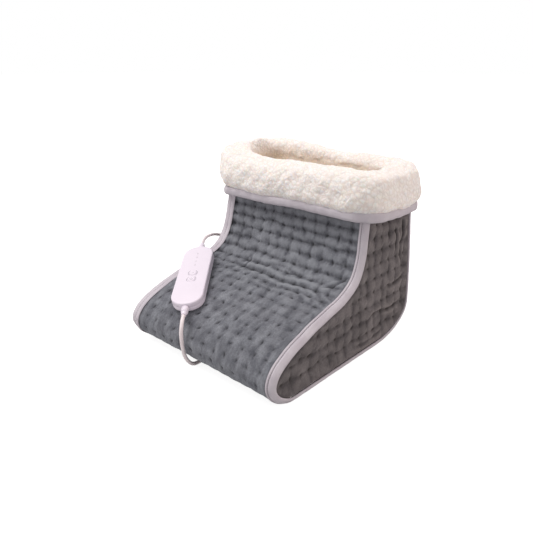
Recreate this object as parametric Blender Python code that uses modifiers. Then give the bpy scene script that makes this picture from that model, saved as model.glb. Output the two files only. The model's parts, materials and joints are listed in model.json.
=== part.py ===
"""Electric foot warmer: a quilted boot for both feet, its hand control and its mains lead.

Metres, +Z up. The toe points to -Y and the boot stands on z = 0, centred on the origin.
"""
import math

import bmesh
import bpy
import numpy as np
from mathutils import Euler, Vector

COLLECTION_NAME = "electric_foot_warmer"
CUTTER_COLLECTION_NAME = "cutters"
MERGE_DISTANCE = 0.00001

# Boot, driving sizes
boot_width = 0.290
boot_length = 0.320
shaft_height = 0.240
side_lean_share = 0.06
cuff_proud = 0.012
cuff_rise = 0.0205
cuff_drop = 0.0434

# Side outline, as shares of boot_length and shaft_height: from the shaft's front top round the
# toe to the toe seam, the flat sole, and from the heel seam to the shaft's back top
front_outline_shares = (
    (0.613, 1.0), (0.608, 0.819), (0.596, 0.716), (0.576, 0.596), (0.540, 0.505),
    (0.454, 0.435), (0.320, 0.3875), (0.195, 0.3375), (0.088, 0.280), (0.0235, 0.2165),
    (0.0002, 0.1495), (0.0130, 0.085), (0.059, 0.029),
)
flat_sole_shares = (0.130, 0.720)
back_outline_shares = (
    (0.835, 0.020), (0.920, 0.065), (0.980, 0.135), (0.998, 0.250), (1.0, 0.404), (0.998, 0.589),
    (0.994, 0.768), (0.991, 1.0),
)
centre_y = (back_outline_shares[-1][0] * boot_length + cuff_proud) / 2
shaft_split_share = 0.7
instep_share = 0.2
outline_steps = 14
outline_tolerance = 0.0002

# Quilted shell
shell_thickness = 0.0075
panel_recess = 0.0015
quilt_pitch_across = 0.020
quilt_pitch_along = 0.0175
side_pitch_along = 0.0183
side_pitch_up = 0.0190
side_lowest_tuft = 0.0130
quilt_puff = 0.0014
quilt_between_puff = 0.0007
quilt_tuft_dip = 0.0028
quilt_edge_dip = 0.0006
seam_gap = 0.0003
fold_gap = 0.0006
layer_gap = 0.0003

# Edge binding, a tape laid across the corner
binding_width = 0.011
binding_thickness = 0.003
binding_crown = 0.0012
binding_seat_gap = 0.0004
binding_seat_share = 0.94
binding_crown_shares = (-1.0, -0.5, 0.5, 1.0)
binding_leg = binding_width / math.sqrt(2)
binding_seat = binding_leg + (binding_thickness + binding_seat_gap) * math.sqrt(2)

# Layers inside the shell
wadding_thickness = 0.005
lining_thickness = 0.006
shell_depth = panel_recess + shell_thickness
side_wadding_depth = shell_depth + layer_gap
side_wadding_inner = side_wadding_depth + wadding_thickness
side_lining_depth = side_wadding_inner + layer_gap
wrap_wadding_depth = shell_depth + fold_gap
wrap_wadding_inner = wrap_wadding_depth + wadding_thickness
wrap_lining_depth = wrap_wadding_inner + fold_gap
cut_overrun = 0.002

# Cuff, a fleece roll over the shaft's top edge
cuff_top = shaft_height + cuff_rise
cuff_bottom = shaft_height - cuff_drop
cuff_lip = 0.027
cuff_gap = 0.0005
cuff_outer_radius = 0.028
cuff_inner_radius = 0.022
cuff_seat_radius = binding_leg + cuff_gap
cuff_corner_steps = 5
cuff_binding_height = 0.0105
covered_height = cuff_drop - cuff_binding_height / 2
cuff_binding_radius = 0.022
cuff_outer_shares = ((0.78, 0.0), (1.0, 0.12), (1.0, 0.45), (0.96, 0.72), (0.72, 0.91), (0.28, 0.985))
cuff_lip_shares = ((0.22, 1.0), (0.60, 0.965), (0.88, 0.86), (1.0, 0.68))
cuff_binding_shares = ((0.50, 0.0), (0.72, 0.30), (0.78, 1.0))

# Heating parts in the sole
pad_side_margin = 0.035
pad_toe_margin = 0.053
pad_past_flat = 0.0072
pad_half_width = boot_width / 2 - pad_side_margin
pad_front_y = pad_toe_margin - centre_y
pad_back_y = flat_sole_shares[1] * boot_length + pad_past_flat - centre_y
pad_thickness = 0.0025
pad_corner = 0.012
pad_bottom = shell_depth + layer_gap
pad_top = pad_bottom + pad_thickness
wire_diameter = 0.0018
wire_height = pad_top + layer_gap + wire_diameter / 2
wire_run_count = 8
wire_toe_margin = 0.0235
wire_side_margin = 0.011
wire_return_inset = 0.006
wire_corner = 0.006
cutout_length = 0.014
cutout_width = 0.007
cutout_height = wrap_lining_depth - pad_top - 2 * layer_gap
cutout_edge = 0.0005
splice_length = 0.016
splice_width = 0.014
splice_height = wadding_thickness - layer_gap
splice_inset = 0.008
splice_y = pad_back_y - splice_inset
splice_end_share = 0.25
first_run_y = splice_y + splice_end_share * splice_width
second_end_y = splice_y - splice_end_share * splice_width
wire_run_pitch = (first_run_y - pad_front_y - wire_toe_margin) / (wire_run_count - 1)
wire_run_half = pad_half_width - wire_side_margin - wire_run_pitch / 2

# Lead inside the left wall and its gland
gland_y = splice_y
gland_z = 0.1005
gland_flange_radius = 0.0065
gland_flange_thickness = 0.0015
gland_neck_radius = 0.0038
gland_boss_radius = 0.0055
gland_boss_gap = 0.0008
gland_boss_thickness = wadding_thickness - gland_boss_gap
gland_sleeve_length = 0.0080
gland_sleeve_tip_radius = 0.0032
inner_lead_diameter = 0.0032
inner_lead_bend = 0.005
round_steps = 16

# Hand control
control_length = 0.142
control_width = 0.046
control_height = 0.0145
control_corner = 0.0215
control_edge = 0.0018
control_wall = 0.0018
control_parting = control_height / 2
control_left_inset = 0.0653
control_toe_distance = 0.0727
control_y = control_toe_distance - centre_y
control_above_instep = 0.0175
control_heading = math.radians(40.0)
control_slope_share = 1.0354
control_roll = math.radians(-6.4)
button_radius = 0.0055
button_rise = 0.0004
button_flange_radius = 0.0068
button_flange_thickness = 0.0010
button_stem_radius = 0.0016
button_stem_length = 0.0016
button_travel = 0.0006
button_clearance = 0.0003
level_button_along = -0.0005
power_button_along = -0.0150
light_spacing = 0.0099
light_last_along = 0.0200
light_count = 4
light_post_radius = 0.0009
light_bar_width = 0.0040
light_bar_thickness = 0.0012
light_bar_overhang = 0.0030
light_chip_length = 0.0020
light_chip_width = 0.0013
light_chip_height = 0.0008
board_end_gap = 0.0028
board_side_gap = 0.0042
board_thickness = 0.0016
board_corner = 0.004
board_standoff = 0.0014
board_rest_length = 0.004
switch_size = 0.0060
fuse_radius = 0.0018
fuse_length = 0.010
triac_size = 0.0065
triac_height = 0.0024
capacitor_length = 0.012
capacitor_width = 0.0050
capacitor_height = 0.0040
part_edge = 0.0003
fuse_place_share = (-0.25, -0.33)
triac_place_share = (0.22, -0.33)
capacitor_place_share = (0.22, 0.30)
screw_inset = 0.0150
screw_along = control_length / 2 - screw_inset
screw_head_radius = 0.0026
screw_head_height = 0.0014
screw_shank_radius = 0.0012
screw_tip_depth = 0.0052
screw_pilot_spare = 0.0020
screw_boss_radius = 0.0032
board_length = 2 * (screw_along - screw_boss_radius - board_end_gap)
board_width = control_width - 2 * (control_wall + board_side_gap)
screw_clearance = 0.0003
screw_recess = 0.0003
relief_length = 0.016
relief_root_radius = 0.0050
relief_tip_radius = 0.0036
relief_neck_radius = 0.0034
relief_flange_radius = 0.0048
relief_flange_thickness = 0.0016
relief_step_share = 0.62

# Cords
cord_diameter = 0.0052
cord_gap = 0.0003
cord_floor_gap = 0.0001
cord_floor = cord_diameter / 2 + cord_floor_gap
mains_x = -0.0125
channel_side_clearance = 0.0006
channel_top_clearance = 0.0004
cord_point_spacing = 0.0108
coil_turns = 7.375
coil_pitch = 0.0059
coil_inner_radius = 0.020
coil_outer_radius = coil_inner_radius + coil_pitch * coil_turns / 2
coil_behind = 0.0630
coil_centre = (mains_x - coil_outer_radius, boot_length + coil_behind - centre_y)
coil_climb_turns = 0.5
coil_tail_turns = 0.8
coil_tail_drop_turns = 0.35
coil_points_per_turn = 24
coil_lift = 0.0011
coil_tail_out = 0.0045
coil_tail_straight = cord_diameter
tie_width = 0.005
tie_thickness = 0.0006
tie_clearance = 0.0004
tie_angle = math.radians(235.0)

# Plug, two round pins
plug_length = 0.033
plug_rear_width = 0.021
plug_front_width = 0.0355
plug_thickness = 0.0137
plug_edge = 0.0025
plug_pin_radius = 0.0020
plug_pin_length = 0.019
plug_pin_spacing = 0.0186
plug_relief_length = 0.024
plug_relief_radius = 0.0052
plug_relief_ribs = 4
plug_relief_rib_depth = 0.0006
plug_floor_gap = 0.0003
plug_axis_height = plug_thickness / 2 + plug_floor_gap
plug_waist_share = 0.60

# Colours from the photograph, as linear values, with roughness and metallic
FINISHES = {
    "plush_front": ((0.150, 0.155, 0.165), 0.85, 0.0),
    "plush_side": ((0.100, 0.095, 0.090), 0.85, 0.0),
    "tape": ((0.420, 0.390, 0.410), 0.70, 0.0),
    "fleece": ((0.860, 0.810, 0.770), 0.95, 0.0),
    "fleece_inner": ((0.760, 0.650, 0.530), 0.95, 0.0),
    "wadding": ((0.800, 0.800, 0.780), 0.95, 0.0),
    "felt": ((0.600, 0.600, 0.580), 0.95, 0.0),
    "control_plastic": ((0.880, 0.820, 0.890), 0.35, 0.0),
    "cord_jacket": ((0.860, 0.800, 0.840), 0.45, 0.0),
    "light_guide": ((0.900, 0.880, 0.900), 0.20, 0.0),
    "board": ((0.030, 0.180, 0.060), 0.50, 0.0),
    "black_plastic": ((0.030, 0.030, 0.030), 0.45, 0.0),
    "capacitor": ((0.450, 0.160, 0.060), 0.40, 0.0),
    "steel": ((0.600, 0.600, 0.600), 0.30, 1.0),
    "brass": ((0.700, 0.620, 0.400), 0.30, 1.0),
    "heating_wire": ((0.550, 0.100, 0.080), 0.50, 0.0),
}


# Scene and material helpers
def clear_scene():
    for obj in list(bpy.data.objects):
        bpy.data.objects.remove(obj, do_unlink=True)


def make_collection(name):
    collection = bpy.data.collections.new(name)
    bpy.context.scene.collection.children.link(collection)
    return collection


def material(name):
    found = bpy.data.materials.get(name)
    if found is not None:
        return found
    colour, roughness, metallic = FINISHES[name]
    made = bpy.data.materials.new(name)
    made.use_nodes = True
    shader = made.node_tree.nodes["Principled BSDF"]
    shader.inputs["Base Color"].default_value = (*colour, 1.0)
    shader.inputs["Roughness"].default_value = roughness
    shader.inputs["Metallic"].default_value = metallic
    return made


def link_part(name, data, finish, parent=None):
    obj = bpy.data.objects.new(name, data)
    bpy.data.collections[COLLECTION_NAME].objects.link(obj)
    data.materials.append(material(finish))
    obj.parent = parent
    return obj


def mesh_from(bm, name):
    bmesh.ops.recalc_face_normals(bm, faces=bm.faces[:])
    mesh = bpy.data.meshes.new(name)
    bm.to_mesh(mesh)
    bm.free()
    return mesh


def part_from(bm, name, finish, parent=None, smooth=False):
    mesh = mesh_from(bm, name)
    if smooth:
        mesh.shade_smooth()
        mesh.set_sharp_from_angle(angle=math.radians(40.0))
    return link_part(name, mesh, finish, parent)


def cutter_from(bm, name, parent=None):
    obj = bpy.data.objects.new(name, mesh_from(bm, name))
    bpy.data.collections[CUTTER_COLLECTION_NAME].objects.link(obj)
    obj.parent = parent
    obj.hide_render = True
    obj.display_type = "WIRE"
    return obj


def combine(target, tool, operation):
    modifier = target.modifiers.new(f"{operation.lower()} {tool.name}", "BOOLEAN")
    modifier.operation = operation
    modifier.solver = "EXACT"
    modifier.object = tool


# Shape helpers
def smooth_line(points, steps, first_heading=None, last_heading=None):
    """A line through the points whose bend changes evenly, with that many steps between each two.

    An end with no heading runs out straight.
    """
    places = np.array(points)
    moves = np.diff(places, axis=0)
    spans = np.linalg.norm(moves, axis=1)
    slopes = moves / spans[:, None]
    count = len(places)
    shares = np.zeros((count, count))
    sums = np.zeros_like(places)
    for k in range(1, count - 1):
        shares[k, k - 1:k + 2] = spans[k], 2 * (spans[k - 1] + spans[k]), spans[k - 1]
        sums[k] = 3 * (spans[k] * slopes[k - 1] + spans[k - 1] * slopes[k])
    for end, near, slope, heading in ((0, 1, 0, first_heading), (-1, -2, -1, last_heading)):
        shares[end, end] = 1
        shares[end, near] = 0.5 if heading is None else 0
        sums[end] = slopes[slope] * 1.5 if heading is None else heading
    headings = np.linalg.solve(shares, sums)
    line = []
    for k in range(count - 1):
        for step in range(steps):
            t = step / steps
            rise = 3 * t ** 2 - 2 * t ** 3
            leave = (t - 2 * t ** 2 + t ** 3) * spans[k]
            arrive = (t ** 3 - t ** 2) * spans[k]
            place = places[k] * (1 - rise) + places[k + 1] * rise
            place += headings[k] * leave + headings[k + 1] * arrive
            line.append(Vector(place))
    line.append(Vector(places[-1]))
    return line


def even_line(points, spacing):
    """Points at an even spacing along a line, its two ends among them."""
    lengths = [0.0]
    for start, end in zip(points, points[1:]):
        lengths.append(lengths[-1] + (end - start).length)
    count = max(2, round(lengths[-1] / spacing))
    wanted = [lengths[-1] * k / count for k in range(count + 1)]
    columns = [np.interp(wanted, lengths, [p[axis] for p in points]) for axis in range(3)]
    return [Vector(p) for p in zip(*columns)]


def loft(rings, closed):
    """A skin over rings of equal counts: joined end to end, or with its two ends filled."""
    bm = bmesh.new()
    loops = [[bm.verts.new(p) for p in ring] for ring in rings]
    followers = loops[1:] + loops[:1] if closed else loops[1:]
    for near, far in zip(loops, followers):
        for k, corner in enumerate(near):
            after = (k + 1) % len(near)
            bm.faces.new((corner, near[after], far[after], far[k]))
    if not closed:
        bm.faces.new(loops[0][::-1])
        bm.faces.new(loops[-1])
    return bm


def box(size, centre, edge=0.0, segments=1, upright_only=False):
    """A box with rounded edges, or with only its upright edges rounded."""
    bm = bmesh.new()
    bmesh.ops.create_cube(bm, size=1.0)
    for vert in bm.verts:
        vert.co = Vector(centre) + Vector(c * s for c, s in zip(vert.co, size))
    edges = bm.edges[:]
    if upright_only:
        edges = [e for e in edges if abs((e.verts[0].co - e.verts[1].co).z) > size[2] / 2]
    if edge:
        bmesh.ops.bevel(bm, geom=edges, offset=edge, segments=segments, profile=0.5, affect="EDGES")
    return bm


def turned_part(name, profile, finish, parent=None, steps=round_steps):
    """A solid turned about local Z from (radius, height) points that run down its outer side."""
    bm = bmesh.new()
    points = [bm.verts.new((radius, 0.0, height)) for radius, height in profile]
    for start, end in zip(points, points[1:]):
        bm.edges.new((start, end))
    mesh = bpy.data.meshes.new(name)
    bm.to_mesh(mesh)
    bm.free()
    obj = link_part(name, mesh, finish, parent)
    screw = obj.modifiers.new("turn", "SCREW")
    screw.axis = "Z"
    screw.steps = steps
    screw.render_steps = steps
    screw.use_merge_vertices = True
    screw.merge_threshold = MERGE_DISTANCE
    screw.use_smooth_shade = True
    return obj


def cylinder(radius, low, high, centre=(0.0, 0.0), steps=round_steps):
    bm = bmesh.new()
    bmesh.ops.create_cone(
        bm, cap_ends=True, cap_tris=False, segments=steps, radius1=radius, radius2=radius, depth=high - low
    )
    bmesh.ops.translate(bm, verts=bm.verts[:], vec=(centre[0], centre[1], (low + high) / 2))
    return bm


def tube_part(name, points, diameter, finish, resolution):
    curve = bpy.data.curves.new(name, "CURVE")
    curve.dimensions = "3D"
    curve.bevel_depth = diameter / 2
    curve.bevel_resolution = resolution
    curve.use_fill_caps = True
    spline = curve.splines.new("POLY")
    spline.points.add(len(points) - 1)
    for slot, point in zip(spline.points, points):
        slot.co = (*point, 1.0)
    return link_part(name, curve, finish)


# The boot's side outline
class Outline:
    """The boot's side view as a line from the shaft's front top round the toe to its back top."""

    def __init__(self):
        level = Vector((0.0, 1.0, 0.0))
        front_points = self.corners(front_outline_shares + ((flat_sole_shares[0], 0.0),))
        back_points = self.corners(((flat_sole_shares[1], 0.0),) + back_outline_shares)
        front_line = smooth_line(front_points, outline_steps, last_heading=level)
        self.line = front_line + smooth_line(back_points, outline_steps, first_heading=level)
        self.travel = [0.0]
        for start, end in zip(self.line, self.line[1:]):
            self.travel.append(self.travel[-1] + (end - start).length)
        self.length = self.travel[-1]
        toe_seam = (len(front_outline_shares) - 1) * outline_steps
        heel_seam = len(front_line) + outline_steps
        self.toe_seam = self.travel[toe_seam]
        self.heel_seam = self.travel[heel_seam]
        self.stations = self.thinned(0, toe_seam) + self.thinned(toe_seam, heel_seam)
        self.stations += self.thinned(heel_seam, len(self.line) - 1) + [self.length]

    def corners(self, shares):
        return [Vector((0.0, y * boot_length - centre_y, z * shaft_height)) for y, z in shares]

    def thinned(self, first, last):
        """Travel values that keep the line within the tolerance, without the last one."""
        chord = self.line[last] - self.line[first]
        if chord.length == 0.0 or last - first < 2:
            return [self.travel[first]]
        offs = [
            (self.line[k] - self.line[first]).cross(chord).length / chord.length
            for k in range(first + 1, last)
        ]
        if max(offs) < outline_tolerance:
            return [self.travel[first]]
        middle = first + 1 + offs.index(max(offs))
        return self.thinned(first, middle) + self.thinned(middle, last)

    def at(self, travel):
        y = float(np.interp(travel, self.travel, [p.y for p in self.line]))
        z = float(np.interp(travel, self.travel, [p.z for p in self.line]))
        return y, z

    def normal(self, travel):
        """The outward direction, level at the two ends so that the top edge stays level."""
        if travel <= 0.0:
            return -1.0, 0.0
        if travel >= self.length:
            return 1.0, 0.0
        reach = binding_thickness
        y0, z0 = self.at(max(travel - reach, 0.0))
        y1, z1 = self.at(min(travel + reach, self.length))
        size = math.hypot(y1 - y0, z1 - z0)
        return (z1 - z0) / size, -(y1 - y0) / size

    def inside(self, travel, depth):
        """The point that lies a depth inside the outline."""
        y, z = self.at(travel)
        ny, nz = self.normal(travel)
        return y - ny * depth, z - nz * depth

    def inset(self, depth):
        """The outline's stations, moved a depth inwards."""
        return [self.inside(travel, depth) for travel in self.stations]

    def front_y(self, z):
        """The shaft front's y at a height."""
        split = boot_length * shaft_split_share - centre_y
        shaft = [p for p in self.line[::-1] if p.z > shaft_height / 2 and p.y < split]
        return float(np.interp(z, [p.z for p in shaft], [p.y for p in shaft]))

    def back_y(self, z):
        """The shaft back's y at a height."""
        split = boot_length * shaft_split_share - centre_y
        shaft = [p for p in self.line if p.z > shaft_height / 2 and p.y > split]
        return float(np.interp(z, [p.z for p in shaft], [p.y for p in shaft]))

    def instep_z(self, y):
        """The height of the boot's upper side at a y, in front of the shaft."""
        upper = [p for p in self.line[::-1] if p.z > shaft_height * instep_share and p.y < self.line[0].y]
        return float(np.interp(y, [p.y for p in upper], [p.z for p in upper]))


def half_width(z):
    """Half the boot's width at a height: both sides lean in."""
    return boot_width / 2 - side_lean_share * z


# Quilted panels
def quilt_depth(column, row, columns, rows):
    """How deep a point of the quilt lies: sewn down at the tufts and drawn in at the edges."""
    if not (0 < column < columns and 0 < row < rows):
        return panel_recess + quilt_edge_dip
    if column % 2 and row % 2:
        return panel_recess + quilt_tuft_dip
    if column % 2 or row % 2:
        return panel_recess - quilt_between_puff
    return panel_recess - quilt_puff


def sheet_between(outer_rows, inner_rows):
    """A closed sheet from a fine outer grid and an inner one that has only two points a row."""
    bm = bmesh.new()
    outer = [[bm.verts.new(p) for p in row] for row in outer_rows]
    inner = [[bm.verts.new(p) for p in row] for row in inner_rows]
    for rows in (outer, inner):
        for near, far in zip(rows, rows[1:]):
            for k in range(len(near) - 1):
                bm.faces.new((near[k], near[k + 1], far[k + 1], far[k]))
    for k in range(len(outer) - 1):
        for end in (0, -1):
            bm.faces.new((outer[k][end], outer[k + 1][end], inner[k + 1][end], inner[k][end]))
    for end in (0, -1):
        bm.faces.new(outer[end] + inner[end][::-1])
    return bm


def wrap_point(outline, travel, depth, across, edge):
    """A point of a panel that wraps round the outline: across runs from -1 to 1."""
    y, z = outline.inside(travel, depth)
    return Vector((across * (half_width(z) - edge), y, z))


def plain_travels(outline, first, last):
    """The outline's stations from first to last."""
    return [first, *(s for s in outline.stations if first < s < last), last]


def quilt_travels(first, last):
    """Travels half a tuft's pitch apart from first to last."""
    rows = 2 * round((last - first) / quilt_pitch_along)
    return [first + (last - first) * row / rows for row in range(rows + 1)]


def wrap_panel(name, outline, travels, depths, edges, finish, first_quilted=None, last_quilted=None):
    """A panel that wraps round the outline, from an outer to an inner depth.

    Its two ends lie at one edge distance outside and at another inside. It is quilted between
    the two rows that are given.
    """
    quilted = first_quilted is not None
    columns = 2 * round((boot_width / 2 - binding_seat) * 2 / quilt_pitch_across) if quilted else 1
    outer_rows = []
    for row, travel in enumerate(travels):
        outer_rows.append([])
        for column in range(columns + 1):
            depth = depths[0]
            if quilted:
                depth = quilt_depth(column, row - first_quilted, columns, last_quilted - first_quilted)
            outer_rows[-1].append(wrap_point(outline, travel, depth, 2 * column / columns - 1, edges[0]))
    inner_rows = [
        [wrap_point(outline, s, depths[1], across, edges[1]) for across in (-1, 1)] for s in travels
    ]
    return part_from(sheet_between(outer_rows, inner_rows), name, finish, smooth=quilted)


def side_x(side, depth, z):
    """The x at a depth inside one side's outer plane."""
    return side * (half_width(z) - depth)


def side_prism(outline, side, near_depth, near_inset, far_depth, far_inset):
    """A flat piece in a side plane, cut to the outline, from one depth to the other."""
    rings = []
    for depth, inset in ((near_depth, near_inset), (far_depth, far_inset)):
        rings.append([Vector((side_x(side, depth, z), y, z)) for y, z in outline.inset(inset)])
    return loft(rings, closed=False)


def quilted_side_panel(outline, side, name, flat_spot):
    """A quilted sheet in a side plane, cut to the boot's outline."""
    step_y = side_pitch_along / 2
    step_z = side_pitch_up / 2
    columns = math.ceil(boot_length / step_y) + 2
    rows = math.ceil((shaft_height - covered_height) / step_z) + 3
    ys = [(column - 1) * step_y - centre_y for column in range(columns + 1)]
    zs = [(row - 3) * step_z + side_lowest_tuft for row in range(rows)] + [shaft_height + step_z]
    edge_line = outline.inset(binding_seat)
    outer_rows = []
    for row, z in enumerate(zs):
        outer_rows.append([])
        for column, y in enumerate(ys):
            near_edge = min(math.hypot(y - ey, z - ez) for ey, ez in edge_line) < step_y
            from_spot = math.inf if flat_spot is None else math.hypot(y - flat_spot[0], z - flat_spot[1])
            near_gland = flat_spot is not None and from_spot < flat_spot[2]
            depth = quilt_depth(column, row, columns, rows)
            if near_edge or near_gland:
                depth = panel_recess + quilt_edge_dip
            outer_rows[-1].append(Vector((side_x(side, depth, z), y, z)))
    inner_rows = [[Vector((side_x(side, shell_depth, z), y, z)) for y in (ys[0], ys[-1])] for z in zs]
    bm = sheet_between(outer_rows, inner_rows)
    panel = part_from(bm, name, "plush_side", smooth=True)
    pattern = side_prism(
        outline, side, -cut_overrun, binding_seat + cut_overrun,
        shell_depth + cut_overrun, binding_seat - shell_depth - cut_overrun,
    )
    combine(panel, cutter_from(pattern, f"{name}_pattern"), "INTERSECT")
    return panel


def binding_ring(outline, side, travel):
    """The tape's cross-section across the corner, as depths inside the side and the wrap."""
    y, z = outline.at(travel)
    ny, nz = outline.normal(travel)
    crown = binding_crown / math.sqrt(2)
    thick = binding_thickness / math.sqrt(2)
    section = []
    for share in binding_crown_shares:
        rise = crown * (1 - share ** 2)
        section.append((binding_leg * (1 + share) / 2 - rise, binding_leg * (1 - share) / 2 - rise))
    for share in (binding_seat_share, -binding_seat_share):
        section.append((binding_leg * (1 + share) / 2 + thick, binding_leg * (1 - share) / 2 + thick))
    ring = []
    for side_depth, wrap_depth in section:
        py = y - ny * wrap_depth
        pz = z - nz * wrap_depth
        ring.append(Vector((side_x(side, side_depth, pz), py, pz)))
    return ring


def edge_binding(outline, side, name):
    rings = [binding_ring(outline, side, travel) for travel in outline.stations]
    return part_from(loft(rings, closed=False), name, "tape", smooth=True)


# Cuff, lofted round the shaft
def shaft_loop(outline, z, out, radius):
    """A rounded rectangle round the shaft at a height, that far outside its faces."""
    side = half_width(min(z, shaft_height)) + out
    front = outline.front_y(min(z, shaft_height)) - out
    back = outline.back_y(min(z, shaft_height)) + out
    corners = ((side, front, 270.0), (side, back, 0.0), (-side, back, 90.0), (-side, front, 180.0))
    loop = []
    for x, y, start in corners:
        cx = x - math.copysign(radius, x)
        cy = y + radius if y == front else y - radius
        for step in range(cuff_corner_steps + 1):
            angle = math.radians(start + 90.0 * step / cuff_corner_steps)
            loop.append(Vector((cx + radius * math.cos(angle), cy + radius * math.sin(angle), z)))
    return loop


def shaft_ring_part(outline, name, section, finish):
    """A closed ring round the shaft from a section of (out, height, corner radius) points."""
    loops = [shaft_loop(outline, z, out, radius) for out, z, radius in section]
    return part_from(loft(loops, closed=True), name, finish, smooth=True)


def fleece_cuff(outline):
    low = cuff_bottom + cuff_binding_height + layer_gap
    height = cuff_top - low
    seat = shaft_height + layer_gap
    section = [(cuff_gap, low, cuff_seat_radius)]
    for out, up in cuff_outer_shares:
        section.append((out * cuff_proud, low + up * height, cuff_outer_radius))
    for share, up in cuff_lip_shares:
        section.append((-share * cuff_lip, low + up * height, cuff_inner_radius))
    section.append((-cuff_lip, seat, cuff_inner_radius))
    section.append((cuff_gap, seat, cuff_seat_radius))
    return shaft_ring_part(outline, "fleece_cuff", section, "fleece")


def cuff_tape(outline):
    section = [(cuff_gap, cuff_bottom, cuff_seat_radius)]
    for out, up in cuff_binding_shares:
        section.append((out * cuff_proud, cuff_bottom + up * cuff_binding_height, cuff_binding_radius))
    section.append((cuff_gap, cuff_bottom + cuff_binding_height, cuff_seat_radius))
    return shaft_ring_part(outline, "cuff_binding", section, "tape")


# Boot layers
def lining(outline):
    """The fleece sack, sewn from five panels as the shell is."""
    wrap_inner = wrap_lining_depth + lining_thickness
    side_inner = side_lining_depth + lining_thickness
    edge = side_inner + layer_gap
    half_seam = seam_gap / 2
    for name, first, last in (
        ("front_lining", 0.0, outline.toe_seam - half_seam),
        ("sole_lining", outline.toe_seam + half_seam, outline.heel_seam - half_seam),
        ("back_lining", outline.heel_seam + half_seam, outline.length),
    ):
        rows = plain_travels(outline, first, last)
        wrap_panel(name, outline, rows, (wrap_lining_depth, wrap_inner), (edge, edge), "fleece_inner")
    for side, name in ((-1, "left_lining"), (1, "right_lining")):
        prism = side_prism(outline, side, side_lining_depth, wrap_lining_depth, side_inner, wrap_lining_depth)
        part_from(prism, name, "fleece_inner")


def shell_and_layers(outline):
    quilt_edges = (binding_seat - panel_recess - quilt_edge_dip, shell_depth + layer_gap)
    panel_depths = (panel_recess, shell_depth)
    half_seam = seam_gap / 2
    rows = [0.0, *quilt_travels(covered_height, outline.toe_seam - half_seam)]
    wrap_panel("front_panel", outline, rows, panel_depths, quilt_edges, "plush_front", 1, len(rows) - 1)
    rows = plain_travels(outline, outline.toe_seam + half_seam, outline.heel_seam - half_seam)
    sole_edges = (binding_seat, shell_depth + layer_gap)
    sole = wrap_panel("sole_panel", outline, rows, (0.0, shell_depth), sole_edges, "plush_side")
    rows = [*quilt_travels(outline.heel_seam + half_seam, outline.length - covered_height), outline.length]
    wrap_panel("back_panel", outline, rows, panel_depths, quilt_edges, "plush_front", 0, len(rows) - 2)
    channel_height = cord_floor + cord_diameter / 2 + channel_top_clearance
    channel = box(
        (cord_diameter + 2 * channel_side_clearance, boot_length * 2, 2 * channel_height),
        (mains_x, 0.0, 0.0),
    )
    combine(sole, cutter_from(channel, "cord_channel"), "DIFFERENCE")
    gland_spot = (gland_y, gland_z, gland_flange_radius + quilt_pitch_across / 2)
    left = quilted_side_panel(outline, -1, "left_side_panel", gland_spot)
    quilted_side_panel(outline, 1, "right_side_panel", None)
    neck_hole = cylinder(gland_neck_radius + layer_gap, -shell_thickness - cut_overrun, cut_overrun)
    combine(left, on_left_side(cutter_from(neck_hole, "gland_hole")), "DIFFERENCE")
    edge_binding(outline, -1, "left_edge_binding")
    edge_binding(outline, 1, "right_edge_binding")
    wadding_edges = (side_wadding_inner + layer_gap, side_wadding_inner + layer_gap)
    wadding_depths = (wrap_wadding_depth, wrap_wadding_inner)
    for name, first, last in (
        ("front_wadding", 0.0, outline.toe_seam), ("back_wadding", outline.heel_seam, outline.length)
    ):
        rows = plain_travels(outline, first, last)
        wrap_panel(name, outline, rows, wadding_depths, wadding_edges, "wadding")
    for side, name in ((-1, "left_wadding"), (1, "right_wadding")):
        prism = side_prism(
            outline, side, side_wadding_depth, wrap_wadding_depth, side_wadding_inner, wrap_wadding_depth
        )
        sheet = part_from(prism, name, "wadding")
        if side < 0:
            slot_half = gland_boss_radius + layer_gap
            slot = box(
                (boot_width, 2 * slot_half, gland_z + slot_half), (-boot_width / 2, gland_y, (gland_z + slot_half) / 2)
            )
            combine(sheet, cutter_from(slot, "lead_slot"), "DIFFERENCE")
    lining(outline)


# Heating parts
def arc(centre, radius, sweep, steps, height):
    """Points on a level arc from the sweep's first angle to its second, in degrees."""
    points = []
    for step in range(steps + 1):
        angle = math.radians(sweep[0] + (sweep[1] - sweep[0]) * step / steps)
        offset = Vector((math.cos(angle), math.sin(angle), 0.0)) * radius
        points.append(Vector((centre[0], centre[1], height)) + offset)
    return points


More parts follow.
